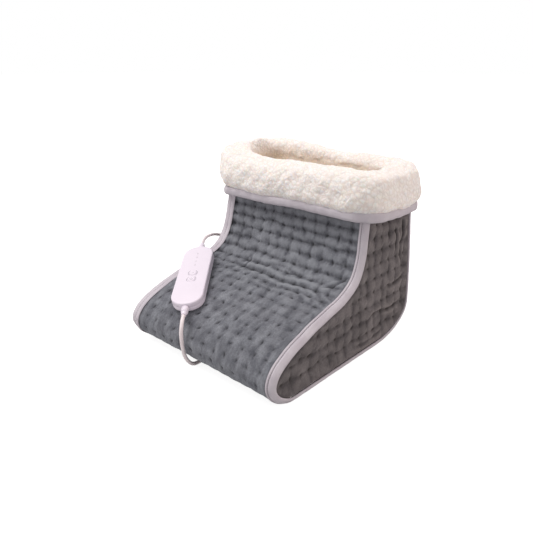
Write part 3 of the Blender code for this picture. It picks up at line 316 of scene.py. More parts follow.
# The boot's own shape, which every soft piece follows
@dataclass
class BootShape:
    """The boot's side outline from the shaft's front top round the toe to its back top.

    Its sizes and shares are the model's own.
    """

    width: float = 0.290
    length: float = 0.320
    shaft: float = 0.240
    lean_share: float = 0.06
    cuff_proud: float = 0.012
    front_shares: tuple[Pair, ...] = (
        (0.613, 1.0), (0.608, 0.819), (0.596, 0.716), (0.576, 0.596), (0.540, 0.505),
        (0.454, 0.435), (0.320, 0.3875), (0.195, 0.3375), (0.088, 0.280), (0.0235, 0.2165),
        (0.0002, 0.1495), (0.0130, 0.085), (0.059, 0.029),
    )
    sole_shares: Pair = (0.130, 0.720)
    back_shares: tuple[Pair, ...] = (
        (0.835, 0.020), (0.920, 0.065), (0.980, 0.135), (0.998, 0.250), (1.0, 0.404), (0.998, 0.589),
        (0.994, 0.768), (0.991, 1.0),
    )
    steps: int = 14
    normal_reach: float = 0.003
    samples: int = 1200
    centre_y: float = field(init=False)
    line: np.ndarray = field(init=False)
    travel: np.ndarray = field(init=False)
    toe_seam: float = field(init=False)
    heel_seam: float = field(init=False)

    def __post_init__(self) -> None:
        """Draw the outline from its shares."""
        self.centre_y = (self.back_shares[-1][0] * self.length + self.cuff_proud) / 2
        level = (1.0, 0.0)
        flat_front, flat_back = ((share, 0.0) for share in self.sole_shares)
        front = smooth_line(self._places((*self.front_shares, flat_front)), self.steps, None, level)
        back = smooth_line(self._places((flat_back, *self.back_shares)), self.steps, level, None)
        self.line = np.concatenate([front, back])
        spans = np.linalg.norm(np.diff(self.line, axis=0), axis=1)
        self.travel = np.concatenate([[0.0], np.cumsum(spans)])
        self.toe_seam = float(self.travel[(len(self.front_shares) - 1) * self.steps])
        self.heel_seam = float(self.travel[len(front) + self.steps])

    def _places(self, shares: Sequence[Pair]) -> list[Pair]:
        """Turn shares of the length and height into y and z."""
        return [(y * self.length - self.centre_y, z * self.shaft) for y, z in shares]

    @property
    def end(self) -> float:
        """The travel at the shaft's back top."""
        return float(self.travel[-1])

    def half_width(self, z: np.ndarray | float) -> np.ndarray | float:
        """Half the boot's width at a height."""
        return self.width / 2 - self.lean_share * z

    def at(self, travel: np.ndarray | float) -> tuple[np.ndarray, np.ndarray]:
        """The outline's y and z at a travel."""
        y = np.interp(travel, self.travel, self.line[:, 0])
        z = np.interp(travel, self.travel, self.line[:, 1])
        return y, z

    def normal(self, travel: np.ndarray | float) -> tuple[np.ndarray, np.ndarray]:
        """The outward direction, in y and z, at a travel.

        Args:
            travel: One or more travels along the outline.

        Returns:
            The direction's y and its z.
        """
        y0, z0 = self.at(np.asarray(travel) - self.normal_reach)
        y1, z1 = self.at(np.asarray(travel) + self.normal_reach)
        size = np.hypot(y1 - y0, z1 - z0)
        return (z1 - z0) / size, -(y1 - y0) / size

    def inside(self, travel: np.ndarray | float, depth: np.ndarray | float) -> tuple[np.ndarray, np.ndarray]:
        """The y and z of a point that lies a depth inside the outline."""
        y, z = self.at(travel)
        ny, nz = self.normal(travel)
        return y - ny * depth, z - nz * depth

    def inset_of(self, y: np.ndarray, z: np.ndarray) -> tuple[np.ndarray, np.ndarray]:
        """How far inside the outline points lie, and the travel that is nearest to each.

        Args:
            y: The points' y.
            z: The points' z.

        Returns:
            The depths and the travels.
        """
        travels = np.linspace(0.0, self.end, self.samples)
        line = np.column_stack(self.at(travels))
        normals = np.column_stack(self.normal(travels))
        places = np.column_stack([y, z])
        number = nearest_number(places, line)
        return -((places - line[number]) * normals[number]).sum(axis=1), travels[number]

    def _shaft(self, front: bool) -> np.ndarray:
        """The outline's y and z on the shaft's upper half, at its front or its back, upwards."""
        ahead = self.line[:, 0] < self.line[:, 0].max() / 2
        upper = self.line[(self.line[:, 1] > self.shaft / 2) & (ahead == front)]
        return upper[::-1] if front else upper

    def front_y(self, z: np.ndarray | float) -> np.ndarray:
        """The shaft front's y at a height."""
        return np.interp(z, *self._shaft(True).T[::-1])

    def back_y(self, z: np.ndarray | float) -> np.ndarray:
        """The shaft back's y at a height."""
        return np.interp(z, *self._shaft(False).T[::-1])


def shown_colour(code: str) -> tuple[float, float, float, float]:
    """Turn a colour as the eye sees it, in six hexadecimal digits, into Blender's linear values."""
    levels = [int(code[k:k + 2], 16) / 255 for k in (0, 2, 4)]
    linear = [c / 12.92 if c <= 0.04045 else ((c + 0.055) / 1.055) ** 2.4 for c in levels]
    return (*linear, 1.0)


# Nodes
class NodeKit:
    """The nodes of one material or world, with the steps that the finishes share."""

    def __init__(self, owner: Material | bpy.types.World, empty: bool = False) -> None:
        """Take hold of the owner's nodes.

        Args:
            owner: The material or world.
            empty: Whether its first nodes go.
        """
        owner.use_nodes = True
        self.tree: NodeTree = owner.node_tree
        if empty:
            self.tree.nodes.clear()

    def fill(self, node: Node, inputs: dict[str | int, object]) -> None:
        """Set or link a node's inputs.

        Args:
            node: The node.
            inputs: For each input a socket, a node that gives its first output, or a plain value.
        """
        for name, value in inputs.items():
            if isinstance(value, Node):
                value = value.outputs[0]
            if isinstance(value, NodeSocket):
                self.tree.links.new(value, node.inputs[name])
            elif value is not None:
                node.inputs[name].default_value = value

    def add(self, kind: str, inputs: dict[str | int, object], **settings: str) -> Node:
        """Add a node.

        Args:
            kind: The end of its type's name, after ShaderNode.
            inputs: What fill sets.
            settings: The node's own settings.

        Returns:
            The node.
        """
        node = self.tree.nodes.new("ShaderNode" + kind)
        for name, value in settings.items():
            setattr(node, name, value)
        self.fill(node, inputs)
        return node

    def coordinates(self, kind: str = "Object") -> NodeSocket:
        """The places that a pattern follows: Object coordinates, or UV for the piece's own map."""
        node = self.tree.nodes.get("Texture Coordinate") or self.add("TexCoord", {})
        return node.outputs[kind]

    def noise(
        self, size: float, detail: float, where: Node | None = None, output: str = "Fac",
    ) -> NodeSocket:
        """A noise whose features have a size in metres."""
        place = where or self.coordinates()
        inputs = {"Vector": place, "Scale": 1.0 / size, "Detail": detail, "Roughness": 0.6}
        return self.add("TexNoise", inputs).outputs[output]

    def ramp(self, share: NodeSocket, low: float, high: float, first: str, second: str) -> NodeSocket:
        """Run from one colour to another as a share rises.

        Args:
            share: The socket that gives the share.
            low: The share at which the first colour ends.
            high: The share at which the second colour is reached.
            first: The first colour.
            second: The second colour.

        Returns:
            The colour socket.
        """
        node = self.add("ValToRGB", {"Fac": share})
        for element, place, colour in zip(node.color_ramp.elements, (low, high), (first, second)):
            element.position = place
            element.color = shown_colour(colour)
        return node.outputs["Color"]

    def bump(self, height: NodeSocket | Node, depth: float, under: NodeSocket | None = None) -> NodeSocket:
        """Turn a height into a relief of that depth in metres, on top of another one if given."""
        return self.add("Bump", {"Distance": depth, "Height": height, "Normal": under}).outputs["Normal"]

    def mixed(
        self, share: NodeSocket | float, first: NodeSocket | str, second: NodeSocket | str,
        blend: str = "MIX",
    ) -> NodeSocket:
        """Mix two colours by a share, in one of Blender's blend modes."""
        first, second = (shown_colour(one) if isinstance(one, str) else one for one in (first, second))
        inputs = {"Factor": share, 6: first, 7: second}
        return self.add("Mix", inputs, data_type="RGBA", blend_type=blend).outputs[2]

    def attribute(self, name: str) -> NodeSocket:
        """The number that the mesh keeps at each point under a name."""
        return self.add("Attribute", {}, attribute_name=name).outputs["Fac"]

    def seen(self) -> NodeSocket:
        """1 for a ray from the camera, a reflection or glass, and 0 for one that only brings light.

        Returns:
            The share, from 0 to 1.
        """
        path = self.add("LightPath", {}).outputs
        share = path["Is Camera Ray"]
        for kind in ("Is Glossy Ray", "Is Transmission Ray"):
            share = self.add("Math", {0: share, 1: path[kind]}, operation="MAXIMUM").outputs[0]
        return share


# Camera, light, floor and background
@dataclass(frozen=True)
class Lamp:
    """A soft square lamp: where it hangs, the length of its sides, its power and its colour."""

    name: str
    place: Place
    size: float
    watts: float
    colour: str


@dataclass
class Studio:
    """A pale floor, soft light and the photograph's view."""

    position: Place = (0.4904, -0.54776, 0.3884)
    target: Place = (-0.01113, -0.00717, 0.10578)
    lens: float = 35.776
    sensor: float = 36.0
    nearest: float = 0.01
    farthest: float = 100.0
    floor_size: float = 40.0
    floor_colour: float = 0.55
    floor_own_light: float = 0.86
    world_level: float = 0.56
    world_colour: tuple[float, float, float, float] = (1.0, 0.985, 0.975, 1.0)
    lamps: tuple[Lamp, ...] = (
        Lamp("key_lamp", (-1.0, -0.7, 2.6), 1.1, 45.0, "fffcfa"),
        Lamp("front_lamp", (-0.5, -2.2, 1.0), 1.4, 5.0, "fffaf8"),
        Lamp("side_lamp", (1.7, 1.2, 0.8), 0.8, 12.0, "ffece4"),
    )

    def aim(self, name: str, data: bpy.types.ID, place: Place) -> Object:
        """Stand a camera or a lamp at a place, facing the boot.

        Args:
            name: Its name.
            data: The camera's or the lamp's data.
            place: Where it stands.

        Returns:
            The object.
        """
        made = added(name, data)
        made.location = place
        heading = Vector(self.target) - Vector(place)
        made.rotation_euler = heading.to_track_quat("-Z", "Y").to_euler()
        return made

    def camera(self) -> None:
        """Stand the camera where the photograph was taken."""
        data = bpy.data.cameras.new("camera")
        data.lens = self.lens
        data.sensor_width = self.sensor
        data.clip_start = self.nearest
        data.clip_end = self.farthest
        bpy.context.scene.camera = self.aim("camera", data, self.position)

    def light(self) -> None:
        """Hang the lamps, which all face the boot."""
        for lamp in self.lamps:
            data = bpy.data.lights.new(lamp.name, "AREA")
            data.shape = "SQUARE"
            data.size = lamp.size
            data.energy = lamp.watts
            data.color = shown_colour(lamp.colour)[:3]
            self.aim(lamp.name, data, lamp.place)

    def background(self) -> None:
        """White behind everything, and a plain level of light all round."""
        world = bpy.data.worlds.new("studio")
        bpy.context.scene.world = world
        kit = NodeKit(world, empty=True)
        around = kit.add("Background", {"Color": self.world_colour, "Strength": self.world_level})
        white = kit.add("Background", {"Color": shown_colour("ffffff"), "Strength": 1.0})
        mix = kit.add("MixShader", {"Fac": kit.seen(), 1: around, 2: white})
        kit.add("OutputWorld", {"Surface": mix})

    def floor(self) -> None:
        """A white floor that keeps the boot's soft shadow."""
        bpy.ops.mesh.primitive_plane_add(size=self.floor_size, location=(0.0, 0.0, 0.0))
        floor = named("floor")
        made = bpy.data.materials.new("floor_paint")
        kit = NodeKit(made, empty=True)
        paint = kit.add("BsdfDiffuse", {"Color": (self.floor_colour,) * 3 + (1.0,)})
        level = kit.add("Math", {0: kit.seen(), 1: self.floor_own_light}, operation="MULTIPLY")
        glow = kit.add("Emission", {"Strength": level})
        kit.add("OutputMaterial", {"Surface": kit.add("AddShader", {0: paint, 1: glow})})
        floor.data.materials.append(made)

    def build(self) -> None:
        """Set up the whole studio."""
        bpy.context.scene.view_settings.view_transform = "Standard"
        self.camera()
        self.background()
        self.floor()
        self.light()


# Finishes
@dataclass(frozen=True)
class Finish:
    """A material made of nodes, with the record's slot that it belongs to.

    Colours are six hexadecimal digits as the eye sees them.
    """

    name: str
    slot: str
    colour: str
    second_colour: str
    roughness: float = 0.5
    metallic: float = 0.0
    patch_size: float = 0.030
    patch_shares: Pair = (0.35, 0.65)
    grain_size: float = 0.0008
    grain_height: float = 0.0
    sheen: float = 0.0
    sheen_roughness: float = 0.5
    sheen_colour: str = "ffffff"
    coat: float = 0.0
    specular: float = 0.5
    scatter: float = 0.0
    scatter_depth: float = 0.004
    scatter_reach_shares: Place = (1.0, 0.85, 0.7)

    def make(self) -> Material:
        """Build the material, or find it if it is already built.

        Returns:
            The material, whose pattern reads Object coordinates.
        """
        found = bpy.data.materials.get(self.name)
        if found is not None:
            return found
        made = bpy.data.materials.new(self.name)
        kit = NodeKit(made)
        kit.fill(kit.tree.nodes["Principled BSDF"], {
            "Roughness": self.roughness, "Metallic": self.metallic, "Sheen Weight": self.sheen,
            "Sheen Roughness": self.sheen_roughness, "Sheen Tint": shown_colour(self.sheen_colour),
            "Coat Weight": self.coat, "Specular IOR Level": self.specular, "Subsurface Weight": self.scatter,
            "Subsurface Radius": self.scatter_reach_shares, "Subsurface Scale": self.scatter_depth,
            "Base Color": self.colour_from(kit),
            "Normal": self.relief_from(kit) if self.grain_height else None,
        })
        return made

    def colour_from(self, kit: NodeKit) -> NodeSocket:
        """The colour: two tones in soft patches."""
        return kit.ramp(kit.noise(self.patch_size, 3.0), *self.patch_shares, self.colour, self.second_colour)

    def relief_from(self, kit: NodeKit) -> NodeSocket:
        """The fine relief: a grain."""
        return kit.bump(kit.noise(self.grain_size, 2.0), self.grain_height)


@dataclass(frozen=True)
class Plush(Finish):
    """Short pile, with painted shade in its dents at the tufts and folds and a painted highlight on its
    puffs.
    """

    # Painted shade for the tuft dents and folds, and a painted highlight for the puffs.
    painted_shade_colour: str = "3f3f43"
    painted_highlight_colour: str = "8e9096"
    pile_size: float = 0.0022
    streak_size: float = 0.009
    streak_squeeze: Place = (1.0, 0.45, 0.45)
    streak_turn: Place = (0.0, 0.0, 0.5)

    def colour_from(self, kit: NodeKit) -> NodeSocket:
        """The colour: brushed patches, fine pile, a painted highlight on the puffs and painted shade in the
        dents.

        Args:
            kit: The finish's own node tree.

        Returns:
            The colour's output.
        """
        patches = super().colour_from(kit)
        fine = kit.ramp(kit.noise(self.pile_size, 4.0), 0.3, 0.7, "d4d4d4", "ffffff")
        brushed = kit.mixed(1.0, patches, fine, "MULTIPLY")
        turned_place = kit.add("Mapping", {
            "Vector": kit.coordinates(), "Scale": self.streak_squeeze, "Rotation": self.streak_turn,
        })
        streaks = kit.noise(self.streak_size, 5.0, turned_place)
        brushed = kit.mixed(1.0, brushed, kit.ramp(streaks, 0.36, 0.64, "bcbcc0", "ffffff"), "MULTIPLY")
        # Painted highlight on the puffs and painted shade in the dents, from the values that the quilt
        # keeps.
        raised = kit.mixed(kit.attribute("raised"), brushed, self.painted_highlight_colour)
        return kit.mixed(kit.attribute("hollow"), raised, self.painted_shade_colour)

    def relief_from(self, kit: NodeKit) -> NodeSocket:
        """The relief: soft brushed streaks under a fine pile."""
        under = kit.bump(kit.noise(self.streak_size, 3.0), self.grain_height * 2)
        return kit.bump(kit.noise(self.grain_size, 2.0), self.grain_height, under)


@dataclass(frozen=True)
class Fleece(Finish):
    """Deep curly pile: light on the curls, with painted shade in the narrow gaps between them and low down
    in the pile.
    """

    curl_size: float = 0.0064
    curl_wander: float = 0.0046
    wander_share: float = 0.8
    gap_share: float = 0.21
    dome_share: float = 1.6
    dome_height_share: float = 1.8
    # Painted shade low down in the pile.
    low_shade_shares: Pair = (0.1, 0.6)
    shade_mix_share: float = 0.24
    # Painted shade deep inside the boot's mouth.
    inner_shade_colour: str = "fdebdb"

    def curls(self, kit: NodeKit) -> NodeSocket:
        """How far a point lies from the gap between two curls.

        Args:
            kit: The finish's own node tree.

        Returns:
            The distance, in shares of a curl.
        """
        wander = kit.noise(self.curl_size * self.wander_share, 2.0, output="Color")
        inputs = {0: wander, 1: (self.curl_wander,) * 3, 2: kit.coordinates()}
        moved = kit.add("VectorMath", inputs, operation="MULTIPLY_ADD")
        inputs = {"Vector": moved, "Scale": 1.0 / self.curl_size}
        return kit.add("TexVoronoi", inputs, feature="DISTANCE_TO_EDGE").outputs["Distance"]

    def colour_from(self, kit: NodeKit) -> NodeSocket:
        """The colour: painted shade from the gaps to the curls and low down in the pile, and warmer painted
        shade deep in the boot's mouth.

        Args:
            kit: The finish's own node tree.

        Returns:
            The colour's output.
        """
        # Painted shade in the gaps between the curls.
        gaps = kit.ramp(self.curls(kit), 0.0, self.gap_share, self.second_colour, self.colour)
        low = kit.ramp(kit.attribute("curl"), *self.low_shade_shares, self.second_colour, self.colour)
        curled = kit.mixed(self.shade_mix_share, gaps, low)
        # Painted shade, warmer and darker, deep inside the boot's mouth.
        painted_inner_shade = kit.mixed(self.shade_mix_share, self.inner_shade_colour, curled, "MULTIPLY")
        return kit.mixed(kit.attribute("inside"), curled, painted_inner_shade)

    def relief_from(self, kit: NodeKit) -> NodeSocket:
        """The relief: rounded curls with fine fibres.

        Args:
            kit: The finish's own node tree.

        Returns:
            The relief's output.
        """
        inputs = {"Value": self.curls(kit), "From Max": self.gap_share * self.dome_share}
        domes = kit.add("MapRange", inputs, interpolation_type="SMOOTHSTEP")
        under = kit.bump(domes, self.grain_height * self.dome_height_share)
        return kit.bump(kit.noise(self.grain_size, 3.0), self.grain_height, under)


@dataclass(frozen=True)
class Woven(Finish):
    """Plain woven tape or cloth, with its threads along the piece's own map."""

    thread_size: float = 0.0009
    wave_share: float = 0.314
    thread_bend: float = 0.6
    slub_size: float = 0.006

    def relief_from(self, kit: NodeKit) -> NodeSocket:
        """The relief: two sets of threads in metres of the piece's own map, and slubs.

        Args:
            kit: The finish's own node tree.

        Returns:
            The relief's output.
        """
        inputs = {
            "Vector": kit.coordinates("UV"), "Scale": self.wave_share / self.thread_size,
            "Distortion": self.thread_bend, "Detail": 1.0,
        }
        warp, weft = (kit.add("TexWave", inputs, bands_direction=axis).outputs["Fac"] for axis in "XY")
        both = kit.add("Math", {0: warp, 1: weft}, operation="MULTIPLY")
        under = kit.bump(kit.noise(self.slub_size, 3.0), self.grain_height * 2)
        return kit.bump(both, self.grain_height, under)


PLUSH_FRONT = Plush(
    "grey_plush_front", "plush_front", "96989f", "7d7e85", roughness=0.92, patch_size=0.032,
    grain_size=0.0007, grain_height=0.00035, sheen=0.55, sheen_roughness=0.40, sheen_colour="d4d7e0",
    specular=0.15,
)
# Painted shade: the front's plush made darker and warmer, with a warmer sheen, for the side panels and the
# sole.
SHADED_PLUSH_SIDE = Plush(
    "grey_plush_side", "plush_side", "857f80", "6b6667", roughness=0.92, patch_size=0.030,
    grain_size=0.0007, grain_height=0.00035, sheen=0.40, sheen_roughness=0.40, sheen_colour="d6ccca",
    specular=0.15, painted_shade_colour="403c3c", painted_highlight_colour="7c7676",
)
TAPE = Woven(
    "lilac_grey_tape", "tape", "cdc6cd", "c3bbc3", roughness=0.78, patch_size=0.020, grain_size=0.0009,
    grain_height=0.00016, sheen=0.15, sheen_colour="ffffff", specular=0.2,
)
STITCH_THREAD = Finish(
    "sewing_thread", "tape", "8f878e", "7d757c", roughness=0.7, patch_size=0.004, grain_size=0.0004,
    grain_height=0.0001, specular=0.3,
)
# Its second colour is painted shade in the gaps between the curls and low in the pile.
FLEECE = Fleece(
    "cream_fleece", "fleece", "fff6f2", "ebdfd8", roughness=0.95, grain_size=0.0007, grain_height=0.00022,
    sheen=0.35, sheen_roughness=0.6, sheen_colour="fffaf8", specular=0.1, scatter=0.7,
)
# Its second colour is painted shade in the gaps between the curls and low in the pile.
FLEECE_INNER = Fleece(
    "cream_fleece_lining", "fleece_inner", "fef2e7", "efdccb", roughness=0.95, grain_size=0.0007,
    grain_height=0.00022, sheen=0.20, sheen_roughness=0.6, sheen_colour="fff0dc", specular=0.1, scatter=0.3,
)
WADDING = Finish(
    "polyester_wadding", "wadding", "f0efec", "e2e0db", roughness=0.95, patch_size=0.006, grain_size=0.0012,
    grain_height=0.0006, sheen=0.2, specular=0.1,
)
FELT = Finish(
    "carrier_felt", "felt", "c9c8c2", "b8b6af", roughness=0.95, patch_size=0.004, grain_size=0.0010,
    grain_height=0.0004, specular=0.1,
)
WIRE_SLEEVE = Finish(
    "silicone_sleeve", "heating_wire", "c05347", "b1483d", roughness=0.55, patch_size=0.010,
    grain_size=0.0006, grain_height=0.00005,
)
CONTROL_PLASTIC = Finish(
    "white_moulded_plastic", "control_plastic", "ebe1ed", "e8deea", roughness=0.38, patch_size=0.040,
    grain_size=0.0005, grain_height=0.00002, specular=0.45,
)
CORD_JACKET = Finish(
    "white_cord_jacket", "cord_jacket", "f0e4e6", "eadde0", roughness=0.42, patch_size=0.030,
    grain_size=0.0006, grain_height=0.00002, specular=0.45,
)
LIGHT_PLASTIC = Finish(
    "milky_plastic", "light_guide", "e6dfe6", "d9d2da", roughness=0.22, patch_size=0.004, grain_size=0.0005,
    grain_height=0.00001, coat=0.3,
)
PRINT_GREY = Finish(
    "pad_print_grey", "control_plastic", "8d8792", "857f8a", roughness=0.5, patch_size=0.003,
    grain_size=0.0004, grain_height=0.00001,
)
BOARD_GREEN = Finish(
    "circuit_board_green", "board", "2f7547", "286a3e", roughness=0.45, patch_size=0.004, grain_size=0.0008,
    grain_height=0.00005, coat=0.3,
)
BLACK_PLASTIC = Finish(
    "black_moulded_plastic", "black_plastic", "2b2b2c", "232324", roughness=0.5, patch_size=0.010,
    grain_size=0.0005, grain_height=0.00004,
)
CAPACITOR = Finish(
    "film_capacitor", "capacitor", "a8663f", "9c5c37", roughness=0.4, patch_size=0.004, grain_size=0.0006,
    grain_height=0.00003, coat=0.4,
)
STEEL = Finish(
    "zinc_plated_steel", "steel", "c9cacc", "bcbdc0", roughness=0.32, metallic=1.0, patch_size=0.004,
    grain_size=0.0004, grain_height=0.00002,
)
PLATED_BRASS = Finish(
    "nickel_plated_brass", "brass", "bdb6a6", "aea797", roughness=0.25, metallic=1.0, patch_size=0.006,
    grain_size=0.0004, grain_height=0.00001,
)


def dress(piece: Object, finish: Finish) -> None:
    """Give a piece its only material."""
    piece.data.materials.clear()
    piece.data.materials.append(finish.make())


def settle(piece: Object, body: str, finish: Finish, *nodes: str) -> Object:
    """Dress a finished piece, hang it on its body and let it stand for its nodes.

    Args:
        piece: The finished piece.
        body: The body that it rides on.
        finish: Its material.
        nodes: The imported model's nodes that it stands for.

    Returns:
        The piece.
    """
    dress(piece, finish)
    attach(piece, body)
    if nodes:
        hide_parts(*nodes)
    faces = len(piece.data.polygons) if piece.type == "MESH" else 0
    LOG.info("%s: %d faces, on %s", piece.name, faces, body)
    return piece


# Curls of the fleece
CELL_HASH = (73856093, 19349663, 83492791)
SEED_HASH = 2654435761


def cell_distance(points: np.ndarray, size: float, seed: int) -> np.ndarray:
    """The distance from each point to the nearest of many scattered seeds, in cells.

    Args:
        points: Rows of x, y and z.
        size: The cells' size.
        seed: A number that sets the scatter.

    Returns:
        One distance for each point, from 0 at a seed to about 1 between them.
    """
    scaled = points / size
    home = np.floor(scaled).astype(np.int64)
    nearest = np.full(len(points), 9.0)
    for step in np.ndindex(3, 3, 3):
        cell = home + np.array(step) - 1
        mixed = np.bitwise_xor.reduce(cell * CELL_HASH, axis=1) ^ (seed * SEED_HASH)
        spot = np.zeros_like(scaled)
        for axis in range(3):
            mixed = (mixed * 1103515245 + 12345) & 0x7FFFFFFF
            spot[:, axis] = (mixed >> 8) / 0x7FFFFF
        nearest = np.minimum(nearest, np.linalg.norm(cell + spot - scaled, axis=1))
    return nearest


def soft_noise(points: np.ndarray, size: float, seed: int) -> np.ndarray:
    """A smooth noise from -1 to 1 whose features have a size in metres.

    Args:
        points: Rows of x, y and z.
        size: How wide one feature is.
        seed: The seed of its random draws.

    Returns:
        One value for each point.
    """
    rng = np.random.default_rng(seed)
    total = np.zeros(len(points))
    waves = 9
    for _ in range(waves):
        heading = rng.normal(size=3)
        heading *= 2 * math.pi / (size * rng.uniform(0.8, 1.6) * np.linalg.norm(heading))
        total += np.sin(points @ heading + rng.uniform(0, 2 * math.pi))
    return total / math.sqrt(waves)


def raise_curls(piece: Object, size: float, height: float, seed: int, where: np.ndarray) -> None:
    """Raise round curls on a fleece piece, and keep how high each point stands on one.

    Args:
        piece: The fleece piece.
        size: How far apart the curls stand.
        height: How proud they stand.
        seed: A number that sets their places.
        where: A share for each point, 0 where there is no curl.
    """
    wander_share, wander_size_share, small_share, large_height_share = 0.16, 2.5, 0.52, 0.72
    points = points_of(piece)
    normals = normals_of(piece)
    wander = np.stack([soft_noise(points, size * wander_size_share, seed + k) for k in range(3)], axis=1)
    places = points + wander * size * wander_share
    large = np.clip(1.0 - cell_distance(places, size, seed) ** 2 * 1.35, 0.0, 1.0)
    small = np.clip(1.0 - cell_distance(places, size * small_share, seed + 7) ** 2 * 1.3, 0.0, 1.0)
    curl = large * large_height_share + small * (1 - large_height_share)
    move_points(piece, points + normals * (curl * height * where)[:, None])
    # The fleece's finish paints shade on the low parts of the curls from these values.
    keep_values(piece, "curl", curl)


# Quilting
@dataclass(frozen=True)
class Spare:
    """How loose the cloth lies at one place along a panel, and how deep its tufts are there."""

    place: float
    along_share: float
    across_share: float
    dip: float


@dataclass(frozen=True)
class Quilt:
    """Padding sewn down at its tufts, with the cloth puffed up between them."""

    cell: float = 0.0024
    tuft_dip: float = 0.0031
    tuft_wander: float = 0.0010
    dip_spread_share: float = 0.35
    lift: float = 0.0009
    plain_reach: float = 0.005
    pit_depth: float = 0.0011
    pit_long: float = 0.0031
    pit_wide: float = 0.0016
    pit_spread_share: float = 0.35
    # Shares of the painted shade in the dents and of the painted highlight on the puffs.
    pit_shade_share: float = 0.28
    sunk_shade_share: float = 0.55
    puff_highlight_share: float = 0.80
    relief_passes: int = 30
    relief_full: float = 0.0012
    pressure: float = 100.0
    mass: float = 0.01
    stiffness: float = 5.0
    bending: float = 0.001
    quality: int = 6
    last_sewn_frame: int = 12
    last_frame: int = 22

    def puff(
        self, sheet: Object, tufts: np.ndarray, held: np.ndarray, spare: Sequence[Spare],
    ) -> np.ndarray:
        """Sew a flat sheet down at its tufts and let the padding puff it up.

        Args:
            sheet: A sheet in the plane of x and y.
            tufts: The tufts' x and y.
            held: True for each point that stays where it is.
            spare: Places along y, with how loose the cloth lies there.

        Returns:
            Where the tufts end up, as x and y; the sheet is moved.
        """
        flat = points_of(sheet)
        sewn = flat.copy()
        rng = np.random.default_rng(len(tufts))
        places = tufts + rng.uniform(-self.tuft_wander, self.tuft_wander, tufts.shape)
        stitched = np.array([np.hypot(*(flat[:, :2] - place).T).argmin() for place in places])
        marks = [row.place for row in spare]
        depths = np.interp(tufts[:, 1], marks, [row.dip for row in spare])
        spread = rng.uniform(1 - self.dip_spread_share, 1 + self.dip_spread_share, len(tufts))
        sewn[stitched, 2] = -depths * spread
        loose = flat.copy()
        loose[:, 0] *= 1 + np.interp(flat[:, 1], marks, [row.across_share for row in spare])
        steps = np.linspace(flat[:, 1].min(), flat[:, 1].max(), 400)
        shares = np.interp(steps, marks, [row.along_share for row in spare])
        extra = np.cumsum(shares) * (steps[1] - steps[0])
        loose[:, 1] += np.interp(flat[:, 1], steps, extra - extra[-1] / 2)
        move_points(sheet, loose)
        puffed = self.settled(sheet, sewn, np.concatenate([stitched, np.flatnonzero(held)]))
        move_points(sheet, puffed)
        LOG.info("%s: %.2f mm between hollow and puff", sheet.name, np.ptp(puffed[:, 2]) * 1000)
        return puffed[stitched, :2]

    def settled(self, sheet: Object, sewn: np.ndarray, pinned: np.ndarray) -> np.ndarray:
        """Draw a loose sheet down to its sewn points under the padding's pressure.

        Args:
            sheet: The loose sheet, which keeps no modifier or key.
            sewn: Where its points lie when it is sewn down.
            pinned: The numbers of the points that are held there.

        Returns:
            The settled points.
        """
        sheet.shape_key_add(name="loose")
        key = sheet.shape_key_add(name="sewn")
        key.data.foreach_set("co", sewn.astype(np.float32).ravel())
        pins = sheet.vertex_groups.new(name="pins")
        pins.add([int(number) for number in pinned], 1.0, "REPLACE")
        cloth = sheet.modifiers.new("padding", "CLOTH")
        settings = cloth.settings
        settings.quality = self.quality
        settings.mass = self.mass
        settings.tension_stiffness = self.stiffness
        settings.compression_stiffness = self.stiffness
        settings.shear_stiffness = self.stiffness / 3
        settings.bending_stiffness = self.bending
        settings.air_damping = 1.0
        settings.vertex_group_mass = pins.name
        settings.use_pressure = True
        settings.uniform_pressure_force = self.pressure
        settings.effector_weights.gravity = 0.0
        for value, frame in ((0.0, 1), (1.0, self.last_sewn_frame)):
            key.value = value
            key.keyframe_insert("value", frame=frame)
        for frame in range(1, self.last_frame + 1):
            bpy.context.scene.frame_set(frame)
        result = sheet.evaluated_get(bpy.context.evaluated_depsgraph_get())
        puffed = np.array([point.co for point in result.data.vertices])
        sheet.modifiers.remove(cloth)
        sheet.shape_key_clear()
        sheet.vertex_groups.clear()
        bpy.context.scene.frame_set(1)
        return puffed

    def pit(self, points: np.ndarray, tufts: np.ndarray) -> np.ndarray:
        """How much lower each point of a flat sheet lies because a tuft draws it in sharply.

        Args:
            points: The sheet's points.
            tufts: The tufts' x and y, each of which gets a short dent in a heading of its own.

        Returns:
            One depth for each point.
        """
        rng = np.random.default_rng(len(tufts) + 1)
        lower = np.zeros(len(points))
        for place in tufts:
            turn = rng.uniform(0.0, math.pi)
            size = rng.uniform(1 - self.pit_spread_share, 1 + self.pit_spread_share)
            near = np.flatnonzero(np.abs(points[:, :2] - place).max(axis=1) < 4 * self.pit_long)
            away = points[near, :2] - place
            along = (away[:, 0] * math.cos(turn) + away[:, 1] * math.sin(turn)) / (self.pit_long * size)
            across = (away[:, 1] * math.cos(turn) - away[:, 0] * math.sin(turn)) / self.pit_wide
            lower[near] = np.maximum(lower[near], self.pit_depth * size * np.exp(-along ** 2 - across ** 2))
        return lower

    def keep_painted_shading(self, sheet: Object, pits: np.ndarray) -> None:
        """Keep painted shade for how hollow and a painted highlight for how proud each point of a flat sheet
        lies, for the finish.

        Args:
            sheet: The flat sheet.
            pits: How deep the tufts' dents are at each point.
        """
        points = points_of(sheet)
        edges = np.zeros(len(sheet.data.edges) * 2, int)
        sheet.data.edges.foreach_get("vertices", edges)
        first, second = edges.reshape(-1, 2).T
        joined = np.bincount(edges, minlength=len(points)).astype(float)
        level = points[:, 2].copy()
        for _ in range(self.relief_passes):
            forward = np.bincount(first, level[second], len(points))
            level = forward + np.bincount(second, level[first], len(points))
            level /= joined
